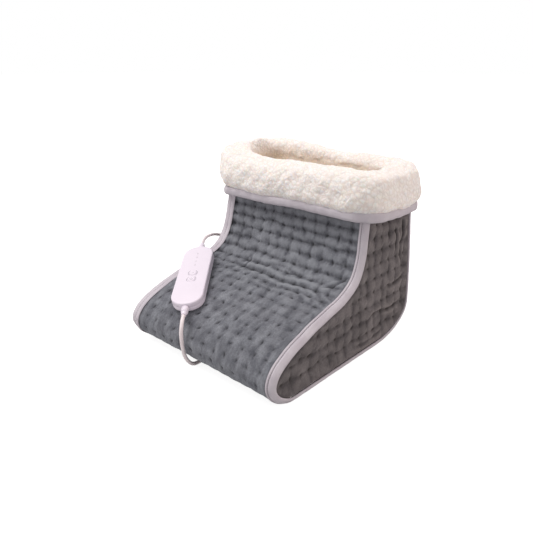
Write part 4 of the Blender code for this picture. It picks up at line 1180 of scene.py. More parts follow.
        # Painted shade where the sheet lies below its neighbours or a tuft dents it, painted highlight where
        # it stands above them.
        relief = (points[:, 2] - level) / self.relief_full
        pit_shade = pits / self.pit_depth * self.pit_shade_share
        keep_values(sheet, "hollow", np.clip(pit_shade - relief * self.sunk_shade_share, 0.0, 1.0))
        keep_values(sheet, "raised", np.clip(relief * self.puff_highlight_share, 0.0, 1.0))


def refine(piece: Object) -> None:
    """Give a sheet four smooth faces for each one.

    Args:
        piece: The sheet.
    """
    modifier = piece.modifiers.new("finer", "SUBSURF")
    modifier.levels = 1
    modifier.boundary_smooth = "PRESERVE_CORNERS"
    apply_modifiers(piece)


def close_sheet(piece: Object, lid: Object) -> None:
    """Make a sheet a closed form: join its plain inner side and sew the two rims together.

    Args:
        piece: The sheet.
        lid: Its plain inner side.
    """
    select_only(piece)
    lid.select_set(True)
    bpy.ops.object.join()
    with edit_mode(piece):
        select(piece, "EDGE", lambda edge: edge.is_boundary)
        bpy.ops.mesh.bridge_edge_loops()
        face_outwards()


@dataclass(frozen=True)
class Fold:
    """A crease pressed into a quilted panel, along a line of places."""

    places: tuple[Pair, ...]
    depth: float
    half_width: float
    line_steps: int = 24
    fade_share: float = 0.25
    shoulder_share: float = 2.2
    shoulder_height_share: float = 0.45

    def press(self, points: np.ndarray) -> np.ndarray:
        """How much lower each point of a flat sheet lies for this crease.

        Args:
            points: The flat sheet's points.

        Returns:
            One depth for each point.
        """
        line = smooth_line(self.places, self.line_steps)
        number = nearest_number(points[:, :2], line)
        away = np.linalg.norm(points[:, :2] - line[number], axis=1)
        share = number / (len(line) - 1)
        fade = smooth_step(share / self.fade_share) * smooth_step((1 - share) / self.fade_share)
        groove = np.exp(-(away / self.half_width) ** 2)
        shoulder = np.exp(-((away - self.shoulder_share * self.half_width) / self.half_width) ** 2)
        return self.depth * (groove - self.shoulder_height_share * shoulder) * fade


FRONT_FOLDS = (
    Fold(
        ((-0.082, 0.148), (-0.045, 0.158), (-0.010, 0.154), (0.030, 0.161), (0.072, 0.156), (0.120, 0.164)),
        0.0016, 0.0034,
    ),
    Fold(((-0.066, 0.136), (-0.020, 0.142), (0.020, 0.136), (0.060, 0.144), (0.104, 0.138)), 0.0010, 0.0028),
    Fold(((-0.010, 0.171), (0.032, 0.177), (0.080, 0.170), (0.126, 0.177)), 0.0008, 0.0030),
    Fold(((-0.051, 0.132), (-0.0465, 0.150), (-0.051, 0.170)), 0.0015, 0.0018),
    Fold(((0.131, 0.118), (0.118, 0.138), (0.098, 0.152)), 0.0013, 0.0022),
)
SIDE_FOLDS = (
    Fold(((0.120, 0.188), (0.130, 0.162), (0.121, 0.138), (0.128, 0.108)), 0.0026, 0.0026),
    Fold(((0.103, 0.176), (0.111, 0.152), (0.102, 0.128)), 0.0020, 0.0022),
    Fold(((0.138, 0.098), (0.112, 0.086), (0.084, 0.088)), 0.0022, 0.0024),
    Fold(((0.132, 0.058), (0.098, 0.050), (0.062, 0.056), (0.030, 0.048)), 0.0020, 0.0024),
    Fold(((-0.010, 0.026), (0.040, 0.020), (0.084, 0.027)), 0.0018, 0.0022),
)


@dataclass
class QuiltedShell:
    """The boot's four quilted panels; its plain sole stays as the model's own piece."""

    shape: BootShape
    quilt: Quilt = field(default_factory=Quilt)
    recess: float = 0.0015
    thickness: float = 0.0075
    rim_inset: float = 0.0054
    tape_bed: float = 0.0124
    left_bed: float = 0.0205
    left_bed_share: float = 0.35
    covered: float = 0.0360
    held_rim: float = 0.004
    held_end: float = 0.001
    lid_steps: tuple[int, int] = (8, 70)
    lid_cell: float = 0.012
    shaft_rows: tuple[float, ...] = (-1.0, 5.0, 8.0, 16.0)
    shaft_row_travels: tuple[float, ...] = (0.0430, 0.1430, 0.1870, 0.3270)
    toe_pitch: float = 0.0175
    across_pitch: float = 0.0202
    drift_travels: Pair = (0.115, 0.281)
    drift_places: Pair = (0.010, 0.016)
    back_first_row: float = 0.010
    back_last_row: float = 0.043
    side_pitch_along: float = 0.0183
    side_pitch_up: float = 0.0190
    side_columns: int = 19
    side_rows: int = 12
    side_lowest: float = 0.0130
    tuft_margin: float = 0.0150
    gland_place: Pair = (0.0665, 0.1005)
    gland_spot: float = 0.0080
    gland_flat_share: float = 1.8
    gland_fade_share: float = 0.8
    flat_depth: float = 0.0021
    wrap_spare: tuple[Spare, ...] = (
        Spare(0.0, 0.085, 0.020, 0.0036), Spare(0.150, 0.080, 0.020, 0.0036),
        Spare(0.185, 0.016, 0.006, 0.0022), Spare(0.250, 0.001, 0.001, 0.0012),
        Spare(0.400, 0.001, 0.002, 0.0013), Spare(0.500, 0.006, 0.005, 0.0019),
        Spare(0.640, 0.045, 0.015, 0.0030), Spare(0.900, 0.070, 0.018, 0.0034),
    )
    side_spare: tuple[Spare, ...] = (Spare(0.0, 0.030, 0.016, 0.0026), Spare(0.240, 0.044, 0.022, 0.0030))

    def front_rows(self) -> np.ndarray:
        """The travels of the front panel's tuft rows, closer on the shaft than on the instep.

        Returns:
            One travel for each row.
        """
        known = self.shaft_rows[-1]
        reached = self.shaft_row_travels[-1]
        further = int((self.shape.toe_seam - reached) / self.toe_pitch)
        rows = np.arange(self.shaft_rows[0], known + 1 + further)
        near = np.interp(rows, self.shaft_rows, self.shaft_row_travels)
        return np.where(rows > known, reached + (rows - known) * self.toe_pitch, near)

    def across(self, travel: float) -> np.ndarray:
        """The x of the tufts in one row, which drift to one side down the shaft.

        Args:
            travel: The row's travel along the outline.

        Returns:
            One x for each tuft.
        """
        phase = np.interp(travel, self.drift_travels, self.drift_places)
        columns = phase + self.across_pitch * np.arange(-9, 9)
        reach = self.shape.half_width(self.shape.at(travel)[1]) - self.tuft_margin
        return columns[np.abs(columns) < reach]

    def quilted(
        self, sheet: Object, tufts: np.ndarray, held: np.ndarray, spare: Sequence[Spare],
        folds: Sequence[Fold], trim: bool = False,
    ) -> np.ndarray:
        """Quilt a flat sheet: puff it up, dent it at its tufts and press its creases in.

        Args:
            sheet: The flat sheet.
            tufts: The tufts' x and y.
            held: True for each point that stays where it is.
            spare: How loose the cloth lies along y.
            folds: Its creases.
            trim: Whether its rim is drawn to the boot's outline.

        Returns:
            The quilted sheet's points.
        """
        sewn = self.quilt.puff(sheet, tufts, held, spare)
        if trim:
            self.draw_rim(sheet)
        refine(sheet)
        points = points_of(sheet)
        pits = self.quilt.pit(points, sewn)
        points[:, 2] -= pits
        for fold in folds:
            points[:, 2] -= fold.press(points)
        move_points(sheet, points)
        self.quilt.keep_painted_shading(sheet, pits)
        return points

    def close(self, sheet: Object, lid: Object, finish: Finish, node: str) -> None:
        """Close a quilted sheet with its inner side and settle it in its node's place."""
        close_sheet(sheet, lid)
        settle(sheet, BOOT_BODY, finish, node)

    def wrap_panel(
        self, name: str, first: float, last: float, rows: np.ndarray, folds: Sequence[Fold], node: str,
    ) -> None:
        """Quilt a panel that wraps round the outline.

        Args:
            name: The piece's name.
            first: The travel at its first edge.
            last: The travel at its last edge.
            rows: The travels of its tuft rows.
            folds: Creases, as x and travel.
            node: The node that it stands for.
        """
        half = self.shape.width / 2 - self.rim_inset
        quilted_first = max(first, self.covered)
        quilted_last = min(last, self.shape.end - self.covered)
        steps_across = round(2 * half / self.quilt.cell)
        steps_along = round((quilted_last - quilted_first) / self.quilt.cell)
        travels = np.linspace(quilted_first, quilted_last, steps_along + 1)
        if first < quilted_first:
            travels = np.concatenate([[first, (first + quilted_first) / 2], travels])
        if last > quilted_last:
            travels = np.concatenate([travels, [(last + quilted_last) / 2, last]])
        sheet, points = flat_grid(name, steps_across, len(travels) - 1)
        points[:, 0] *= 2 * half
        points[:, 1] = np.interp(points[:, 1] + 0.5, np.linspace(0.0, 1.0, len(travels)), travels)
        move_points(sheet, points)
        tufts = []
        for travel in rows:
            squeeze = (self.shape.half_width(self.shape.at(travel)[1]) - self.rim_inset) / half
            tufts += [(x / squeeze, travel) for x in self.across(travel)]
        held = (half - np.abs(points[:, 0]) < self.held_rim) | (points[:, 1] < quilted_first + self.held_end)
        held |= points[:, 1] > quilted_last - self.held_end
        points = self.quilted(sheet, np.array(tufts), held, self.wrap_spare, folds)
        inset = half - np.abs(points[:, 0]) + self.rim_inset
        depth = self.recess - self.quilt.lift - points[:, 2]
        depth = np.maximum(depth, self.tape_bed - inset)
        pressed = np.maximum(depth, (self.left_bed - inset) * self.left_bed_share)
        depth = np.where(points[:, 0] < 0.0, pressed, depth)
        move_points(sheet, self.wrapped(points[:, 0] / half, points[:, 1], depth, self.rim_inset))
        inner_depth = self.recess + self.thickness
        lid, points = flat_grid(f"{name}_inner", *self.lid_steps)
        travel = first + (points[:, 1] + 0.5) * (last - first)
        depth = np.full(len(points), inner_depth)
        move_points(lid, self.wrapped(points[:, 0] * 2, travel, depth, inner_depth + TOUCH_GAP))
        self.close(sheet, lid, PLUSH_FRONT, node)

    def wrapped(self, across: np.ndarray, travel: np.ndarray, depth: np.ndarray, inset: float) -> np.ndarray:
        """Points of a sheet laid round the outline: across runs from -1 to 1."""
        y, z = self.shape.inside(travel, depth)
        return np.stack([across * (self.shape.half_width(z) - inset), y, np.maximum(z, TOUCH_GAP)], axis=1)

    def side_panel(self, name: str, side: int, node: str) -> None:
        """Quilt a side panel, cut to the boot's outline.

        Args:
            name: The piece's name.
            side: -1 for the left side and 1 for the right side.
            node: The node that it stands for.
        """
        sheet = self.side_sheet(name, self.quilt.cell)
        points = points_of(sheet)
        inset, _ = self.shape.inset_of(points[:, 0], points[:, 1])
        columns = np.arange(self.side_columns) * self.side_pitch_along - self.shape.centre_y
        rows = np.arange(self.side_rows) * self.side_pitch_up + self.side_lowest
        tufts = np.array([(y, z) for y in columns for z in rows if z < self.shape.shaft - self.covered])
        tuft_inset, _ = self.shape.inset_of(tufts[:, 0], tufts[:, 1])
        tufts = tufts[tuft_inset > self.tuft_margin]
        if side < 0:
            tufts = tufts[np.linalg.norm(tufts - self.gland_place, axis=1) > 2 * self.gland_spot]
        held = (inset < self.rim_inset + self.held_rim) | (points[:, 1] > self.shape.shaft - self.covered)
        points = self.quilted(sheet, tufts, held, self.side_spare, SIDE_FOLDS, trim=True)
        inset, _ = self.shape.inset_of(points[:, 0], points[:, 1])
        depth = self.recess - self.quilt.lift - points[:, 2]
        if side < 0:
            away = np.linalg.norm(points[:, :2] - self.gland_place, axis=1)
            reach = self.gland_flat_share * self.gland_spot
            near = smooth_step((reach - away) / (self.gland_fade_share * self.gland_spot))
            depth = depth * (1 - near) + self.flat_depth * near
        depth = np.maximum(depth, self.tape_bed - np.maximum(inset, self.rim_inset))
        move_points(sheet, self.on_side(side, points, depth))
        lid = self.side_sheet(f"{name}_inner", self.lid_cell)
        self.draw_rim(lid)
        points = points_of(lid)
        move_points(lid, self.on_side(side, points, np.full(len(points), self.recess + self.thickness)))
        self.close(sheet, lid, SHADED_PLUSH_SIDE, node)

    def side_sheet(self, name: str, cell: float) -> Object:
        """A flat sheet of y and z, cut to the outline's inset line.

        Args:
            name: The sheet's name.
            cell: How wide its faces are.

        Returns:
            The sheet.
        """
        low_y = self.shape.line[:, 0].min()
        high_y = self.shape.line[:, 0].max()
        steps_y = round((high_y - low_y) / cell)
        steps_z = round(self.shape.shaft / cell)
        sheet, points = flat_grid(name, steps_y, steps_z)
        points[:, 0] = low_y + (points[:, 0] + 0.5) * (high_y - low_y)
        points[:, 1] = (points[:, 1] + 0.5) * self.shape.shaft
        move_points(sheet, points)
        inset, _ = self.shape.inset_of(points[:, 0], points[:, 1])
        keep_values(sheet, "inset", inset)
        with edit_mode(sheet) as mesh:
            layer = mesh.verts.layers.float["inset"]
            least = self.rim_inset
            select(sheet, "FACE", lambda face: sum(v[layer] for v in face.verts) / len(face.verts) < least)
            bpy.ops.mesh.delete(type="FACE")
            bpy.ops.mesh.select_all(action="SELECT")
            bpy.ops.mesh.delete_loose()
        sheet.data.attributes.remove(sheet.data.attributes["inset"])
        return sheet

    def draw_rim(self, sheet: Object) -> None:
        """Draw the stepped rim of a cut sheet onto the outline's inset line.

        Args:
            sheet: The sheet that side_sheet cut.
        """
        points = points_of(sheet)
        with edit_mode(sheet) as mesh:
            rim = np.array([vert.is_boundary for vert in mesh.verts])
        _, travel = self.shape.inset_of(points[:, 0], points[:, 1])
        rim &= points[:, 1] < self.shape.shaft - MERGE_DISTANCE
        y, z = self.shape.inside(travel[rim], self.rim_inset)
        points[rim, 0] = y
        points[rim, 1] = np.minimum(z, self.shape.shaft)
        move_points(sheet, points)

    def on_side(self, side: int, points: np.ndarray, depth: np.ndarray) -> np.ndarray:
        """Stand a flat sheet of y and z in one side's plane, at a depth."""
        x = side * (self.shape.half_width(points[:, 1]) - depth)
        return np.stack([x, points[:, 0], points[:, 1]], axis=1)

    def build(self) -> None:
        """Make all the shell's panels."""
        seam, end = self.shape.heel_seam, self.shape.end
        rows = self.front_rows()
        self.wrap_panel("quilted_front", 0.0, self.shape.toe_seam, rows, FRONT_FOLDS, "front_panel")
        rows = np.arange(seam + self.back_first_row, end - self.back_last_row, self.toe_pitch)
        self.wrap_panel("quilted_back", seam, end, rows, (), "back_panel")
        self.side_panel("quilted_left_side", -1, "left_side_panel")
        self.side_panel("quilted_right_side", 1, "right_side_panel")


# Tape round each side panel
@dataclass
class EdgeBinding:
    """A folded tape laid across the corner between a side panel and the panels that wrap round."""

    shape: BootShape
    leg: float = 0.011 / math.sqrt(2)
    step: float = 0.0012
    stitch_pitch: float = 0.0032
    stitch_across: float = -0.00415
    stitch_out: float = 0.0001
    stitch_ahead: float = 0.001
    stitch_size: Place = (0.00022, 0.00022, 0.0011)
    copy_step: float = 10.0
    half_tape: float = 0.0066
    left_lap: float = 0.0120
    right_lap: float = 0.0010
    lap_rise_share: float = 0.02
    face_fade: float = 0.001
    pucker_width: float = 0.0016
    pucker_height: float = 0.00012
    wave_size: float = 0.011
    wave_height: float = 0.00016
    sway_size: float = 0.030
    sway: float = 0.00015
    section: tuple[Pair, ...] = (
        (-0.0066, -0.0015), (-0.0063, 0.0002), (-0.0058, 0.00075), (-0.0050, 0.00085), (-0.0044, 0.00035),
        (-0.00415, -0.00035), (-0.0039, 0.00045), (-0.0033, 0.00115), (-0.0015, 0.0016), (0.0008, 0.0017),
        (0.0032, 0.00145), (0.0049, 0.0009), (0.0057, 0.0001), (0.0060, -0.0012), (0.0040, -0.0026),
        (0.0, -0.0030), (-0.0045, -0.0026),
    )

    def rounded_section(self) -> np.ndarray:
        """The tape's cross-section with a finer line through its points."""
        return smooth_line(self.section + (self.section[0],), 3)[:-1]

    def place(self, side: int, travel: np.ndarray, across: np.ndarray, out: np.ndarray) -> np.ndarray:
        """Points on the corner: across the tape from the wrap side, and out along the corner's diagonal.

        Args:
            side: -1 for the left side and 1 for the right side.
            travel: Each point's place along the outline.
            across: Its place across the tape.
            out: How far it stands out.

        Returns:
            Rows of x, y and z.
        """
        lap = self.left_lap if side < 0 else self.right_lap
        lapped = np.clip(-across / self.half_tape, 0.0, 1.0) ** 1.5 * lap
        side_depth = self.leg / 2 - (across + out) / math.sqrt(2) + lapped
        wrap_depth = self.leg / 2 + (across - out) / math.sqrt(2) - lapped * self.lap_rise_share
        y, z = self.shape.inside(travel, wrap_depth)
        x = side * (self.shape.half_width(z) - side_depth)
        return np.stack([x, y, np.maximum(z, TOUCH_GAP)], axis=1)

    def tape(self, name: str, side: int, node: str) -> None:
        """Lay the tape round one side.

        Args:
            name: The tape's name.
            side: -1 for the left, 1 for the right.
            node: The node it stands for.
        """
        section = self.rounded_section()
        tape, points = flat_grid(name, round(self.shape.end / self.step), len(section))
        travel = (points[:, 0] + 0.5) * self.shape.end
        number = np.rint((points[:, 1] + 0.5) * len(section)).astype(int) % len(section)
        across, out = section[number].T
        outside = np.clip((out + self.face_fade) / self.face_fade, 0.0, 1.0)
        pucker = np.exp(-((across - self.stitch_across) / self.pucker_width) ** 2)
        beat = np.cos(2 * math.pi * travel / self.stitch_pitch)
        level = np.zeros(len(travel))
        wave = soft_noise(np.stack([travel, across * 2, level], axis=1), self.wave_size, 5 + side)
        out = out + outside * (self.pucker_height * beat * pucker + self.wave_height * wave)
        swayed = soft_noise(np.stack([travel, level, level], axis=1), self.sway_size, 9 + side)
        move_points(tape, self.place(side, travel, across + self.sway * swayed, out))
        lengths = np.concatenate([[0.0], np.cumsum(np.linalg.norm(np.diff(section, axis=0), axis=1))])
        scale_map(tape, self.shape.end, float(lengths[-1]))
        with edit_mode(tape):
            merge_doubles()
            select(tape, "EDGE", lambda edge: edge.is_boundary)
            bpy.ops.mesh.edge_face_add()
            face_outwards()
        settle(tape, BOOT_BODY, TAPE, node)

    def stitches(self, name: str, side: int) -> None:
        """Sew the tape down along its groove.

        Args:
            name: The stitches' name.
            side: -1 for the left, 1 for the right.
        """
        bpy.ops.mesh.primitive_uv_sphere_add(segments=8, ring_count=6, radius=1.0)
        stitch = named(name)
        one = points_of(stitch) * self.stitch_size
        count = int(self.shape.end / self.stitch_pitch)
        travels = (np.arange(count) + 0.5) * self.stitch_pitch
        across = np.full(count, self.stitch_across)
        out = np.full(count, self.stitch_out)
        middles = self.place(side, travels, across, out)
        aheads = self.place(side, travels + self.stitch_ahead, across, out)
        copies = stitch.modifiers.new("all", "ARRAY")
        copies.count = count
        copies.use_relative_offset = False
        copies.use_constant_offset = True
        copies.constant_offset_displace = (self.copy_step, 0.0, 0.0)
        apply_modifiers(stitch)
        rows = []
        for middle, ahead in zip(middles, aheads):
            turn = np.array(Vector(ahead - middle).to_track_quat("Z", "Y").to_matrix())
            rows.append(one @ turn.T + middle)
        move_points(stitch, np.concatenate(rows))
        select_only(stitch)
        bpy.ops.object.shade_smooth()
        settle(stitch, BOOT_BODY, STITCH_THREAD)

    def build(self) -> None:
        """Bind both sides."""
        for side, word in ((-1, "left"), (1, "right")):
            self.tape(f"{word}_tape", side, f"{word}_edge_binding")
            self.stitches(f"{word}_tape_stitches", side)


def scale_map(piece: Object, wide: float, high: float) -> None:
    """Scale a piece's own map from shares to metres.

    Args:
        piece: The piece.
        wide: How many metres its map's first share spans.
        high: How many metres its second share spans.
    """
    layer = piece.data.uv_layers.active
    values = np.zeros(len(layer.data) * 2, np.float32)
    layer.data.foreach_get("uv", values)
    values = values.reshape(-1, 2) * (wide, high)
    layer.data.foreach_set("uv", values.astype(np.float32).ravel())


# Fleece collar
@dataclass
class Collar:
    """The rolled fleece cuff over the shaft's top edge, and the tape at its foot."""

    shape: BootShape
    proud: float = 0.012
    rise: float = 0.0205
    drop: float = 0.0434
    lip: float = 0.0255
    tape_height: float = 0.0105
    tape_sag: float = 0.0024
    outer_radius: float = 0.040
    inner_radius: float = 0.032
    seat_radius: float = 0.015
    tape_radius: float = 0.036
    tape_inner_radius: float = 0.012
    tape_wave_size: float = 0.012
    tape_wave: float = 0.00018
    tape_map: Pair = (0.84, 0.036)
    side_bulge: float = 0.0055
    # Where the painted shade inside the mouth starts and how it fades in downwards.
    inner_shade_top_share: float = 0.90
    inner_shade_fade_share: float = 0.30
    left_bulge: float = 0.0245
    left_bulge_share: float = -0.08
    left_bulge_height: float = 0.026
    left_radius_share: float = 0.80
    end_bulge: float = 0.0025
    end_slim: float = 0.0095
    bulge_out: float = 0.009
    bulge_power: float = 2.5
    swells: tuple[tuple[float, float, int], ...] = ((0.060, 0.0011, 21), (0.024, 0.0006, 22))
    swell_out: float = 0.004
    swell_above: float = 0.006
    flap_curl_share: float = 0.25
    inner_share: float = 0.80
    curl_size: float = 0.0064
    curl_height: float = 0.0015
    corner_share: float = 0.085
    front_share: float = 0.36
    rim_shifts: tuple[Pair, ...] = (
        (0.0, -0.0040), (0.06, -0.0035), (0.14, -0.0035), (0.185, -0.0035), (0.25, -0.0030),
        (0.305, -0.0050),
        (0.335, -0.0020), (0.36, 0.0004), (0.44, 0.0010), (0.56, 0.0022), (0.64, 0.0060), (0.69, 0.0095),
        (0.75, 0.0125), (0.79, 0.0090), (0.815, 0.0005), (0.83, -0.0040), (0.86, -0.0050), (0.94, -0.0044),
        (1.0, -0.0040),
    )
    foot_shifts: tuple[Pair, ...] = (
        (0.0, 0.0), (0.06, 0.0010), (0.18, -0.0010), (0.25, -0.0030), (0.32, -0.0020), (0.5, 0.0),
        (0.70, 0.0), (0.76, -0.0030), (0.80, -0.0035), (0.85, -0.0015), (0.93, -0.0020), (1.0, 0.0),
    )

    @property
    def top(self) -> float:
        """The collar's highest level."""
        return self.shape.shaft + self.rise

    @property
    def bottom(self) -> float:
        """The lower edge of the collar's tape."""
        return self.shape.shaft - self.drop

    def round_shaft(
        self, share: np.ndarray, out: np.ndarray, z: np.ndarray, radius: np.ndarray,
    ) -> np.ndarray:
        """Points on rounded rectangles round the shaft.

        Args:
            share: How far round each point lies, from the middle of the front, from 0 to 1.
            out: How far outside the shaft's faces.
            z: The height.
            radius: The corners' radius.

        Returns:
            Rows of x, y and z.
        """
        mirrored = share >= 0.5
        level = np.minimum(z, self.shape.shaft)
        radius = radius * np.where(mirrored, self.left_radius_share, 1.0)
        side = self.shape.half_width(level) + out
        front = self.shape.front_y(level) - out
        back = self.shape.back_y(level) + out
        corner = self.corner_share
        quarter = (share * 2) % 1.0
        quarter = np.where(mirrored, 1 - quarter, quarter) / 2
        first = self.front_share * (0.5 - 2 * corner)
        second = first + corner
        third = 0.5 - first - corner
        fourth = third + corner
        stretches = (quarter < first, quarter < second, quarter < third, quarter < fourth)
        front_turn = (quarter - first) / corner * math.pi / 2
        back_turn = (quarter - third) / corner * math.pi / 2
        run = (quarter - second) / (third - second)
        x = np.select(
            stretches,
            (quarter / first * (side - radius), side - radius + radius * np.sin(front_turn), side,
             side - radius + radius * np.cos(back_turn)),
            (side - radius) * (0.5 - quarter) / (0.5 - fourth),
        )
        y = np.select(
            stretches,
            (front, front + radius - radius * np.cos(front_turn),
             front + radius + run * (back - front - 2 * radius), back - radius + radius * np.sin(back_turn)),
            back,
        )
        x = x * (1 + smooth_step(-out / self.lip) * self.end_slim / side)
        bulge = smooth_step(out / self.bulge_out)
        middle = (front + back) / 2
        risen = smooth_step((z - self.bottom - self.tape_height) / self.left_bulge_height)
        risen = self.left_bulge_share + (1 - self.left_bulge_share) * risen
        aside = np.where(mirrored, self.left_bulge * risen, self.side_bulge)
        x = x * (1 + bulge * aside / side * (1 - np.abs((y - middle) / (back - middle)) ** self.bulge_power))
        fullness = 1 - np.abs(x / side).clip(0.0, 1.0) ** self.bulge_power
        y = y + bulge * self.end_bulge * np.sign(y - middle) * fullness
        return np.stack([np.where(mirrored, -x, x), y, z], axis=1)

    def ring(self, name: str, section: np.ndarray, steps_round: int) -> Object:
        """A closed ring round the shaft, rolled up from a flat grid.

        Args:
            name: The piece's name.
            section: Rows of out, height and corner radius, closed.
            steps_round: How many steps go round the shaft.

        Returns:
            The ring, which keeps its section's out and height at each point.
        """
        ring, points = flat_grid(name, steps_round, len(section))
        share = (points[:, 0] + 0.5) % 1.0
        row = section[np.rint((points[:, 1] + 0.5) * len(section)).astype(int) % len(section)]
        move_points(ring, self.round_shaft(share, row[:, 0], row[:, 1], row[:, 2]))
        keep_values(ring, "out", row[:, 0])
        with edit_mode(ring):
            merge_doubles()
            face_outwards()
        return ring

    def fleece(self) -> None:
        """Roll the fleece over the shaft's top."""
        low = self.bottom + self.tape_height - 0.001
        high = self.top
        height = high - low
        seat = self.shape.shaft + TOUCH_GAP
        lip = -self.lip
        line = (
            (0.0005, low + 0.003), (0.0060, low - 0.0005), (0.0120, low + 0.004),
            (0.0145, low + 0.30 * height), (0.0138, low + 0.54 * height),
            (0.0105, low + 0.76 * height), (0.0045, low + 0.91 * height),
            (0.14 * lip, low + 0.98 * height), (0.42 * lip, high), (0.68 * lip, low + 0.975 * height),
            (0.88 * lip, low + 0.89 * height), (0.97 * lip, low + 0.76 * height), (0.99 * lip, seat - 0.004),
            (0.98 * lip, seat - 0.014), (0.92 * lip, seat - 0.017), (0.865 * lip, seat - 0.013),
            (0.850 * lip, seat - 0.003), (0.78 * lip, seat), (0.45 * lip, seat), (0.0005, seat),
            (0.0005, low + 0.5 * height),
        )
        smooth = even_line(smooth_line(line + (line[0],), 8), 126)[:-1]
        radii = (self.inner_radius, self.seat_radius, self.outer_radius)
        section = np.column_stack([smooth, np.interp(smooth[:, 0], (lip, 0.0, self.proud), radii)])
        ring = self.ring("fleece_collar", section, 700)
        points = points_of(ring)
        risen = (points[:, 2] - low) / height
        up = smooth_step(risen)
        rim = self.shift(points, self.rim_shifts) * up
        points[:, 2] += rim + self.shift(points, self.foot_shifts) * (1 - up)
        move_points(ring, points)
        swell = sum(soft_noise(points, size, seed) * proud for size, proud, seed in self.swells)
        away = kept_values(ring, "out")
        out = (away > self.swell_out) | (points[:, 2] > self.shape.shaft + self.swell_above)
        move_points(ring, points + normals_of(ring) * (swell * out)[:, None])
        inner = away < self.inner_share * lip
        # Painted shade: the inner side's fleece turns warmer and darker the deeper it lies in the boot's
        # mouth.
        shade_depth_share = (self.inner_shade_top_share - risen) / self.inner_shade_fade_share
        keep_values(ring, "inside", smooth_step(shade_depth_share) * inner)
        raise_curls(ring, self.curl_size, self.curl_height, 3, np.where(out, 1.0, self.flap_curl_share))
        settle(ring, BOOT_BODY, FLEECE, "fleece_cuff")

    def shift(self, points: np.ndarray, shifts: Sequence[Pair]) -> np.ndarray:
        """How far the collar rises or sinks at each point, from its direction as seen from above."""
        middle = (points[:, 1].min() + points[:, 1].max()) / 2
        share = np.arctan2(points[:, 0], middle - points[:, 1]) / (2 * math.pi) % 1.0
        return np.interp(share, [place for place, _ in shifts], [rise for _, rise in shifts])

    def tape(self) -> None:
        """Bind the collar's lower edge."""
        low = self.bottom - self.tape_sag
        high = self.bottom + self.tape_height
        line = (
            (0.0005, low + 0.0006), (0.0060, low), (0.0095, low + 0.0010), (0.0112, low + 0.0032),
            (0.0120, low + 0.0072), (0.0117, low + 0.0105), (0.0100, high), (0.0040, high + 0.0003),
            (0.0005, high), (0.0005, low + 0.005),
        )
        smooth = even_line(smooth_line(line + (line[0],), 6), 44)[:-1]
        radius = np.interp(smooth[:, 0], (0.0, self.proud), (self.tape_inner_radius, self.tape_radius))
        ring = self.ring("collar_tape", np.column_stack([smooth, radius]), 640)
        points = points_of(ring)
        wave = soft_noise(points, self.tape_wave_size, 31) * self.tape_wave
        outward = normals_of(ring)
        points[:, 2] += self.shift(points, self.foot_shifts)
        move_points(ring, points + outward * wave[:, None])
        scale_map(ring, *self.tape_map)
        settle(ring, BOOT_BODY, TAPE, "cuff_binding")

    def build(self) -> None:
        """Make the collar and its tape."""
        self.fleece()
        self.tape()


# Fleece sack inside
@dataclass
class Lining:
    """The fleece that the feet go into, sewn from five panels."""

    nodes: tuple[str, ...] = ("front_lining", "sole_lining", "back_lining", "left_lining", "right_lining")
    voxel: float = 0.0032
    curl_size: float = 0.0042
    curl_height: float = 0.0013
    fine_above: float = 0.165

    def build(self) -> None:
        """Join the panels and raise the fleece on their inner side."""
        copies = [added(f"{name}_copy", bpy.data.objects[name].data.copy()) for name in self.nodes]
        select_only(copies[0])
        for made in copies:
            made.select_set(True)
        bpy.ops.object.join()
        sack = named("fleece_lining")
        thicken = sack.modifiers.new("joined", "REMESH")
        thicken.mode = "VOXEL"
        thicken.voxel_size = self.voxel
        thicken.use_smooth_shade = True
        soften = sack.modifiers.new("soft", "SMOOTH")
        soften.factor = 0.5
        soften.iterations = 3
        apply_modifiers(sack)
        with edit_mode(sack):
            select(sack, "FACE", lambda face: face.calc_center_median().z > self.fine_above)
            bpy.ops.mesh.subdivide(number_cuts=1, smoothness=0.3)
        points = points_of(sack)
        middle = (points.min(axis=0) + points.max(axis=0)) / 2
        inward = -(normals_of(sack) * (points - middle)).sum(axis=1) > 0
        raise_curls(sack, self.curl_size, self.curl_height, 41, inward.astype(float))
        settle(sack, BOOT_BODY, FLEECE_INNER, *self.nodes)


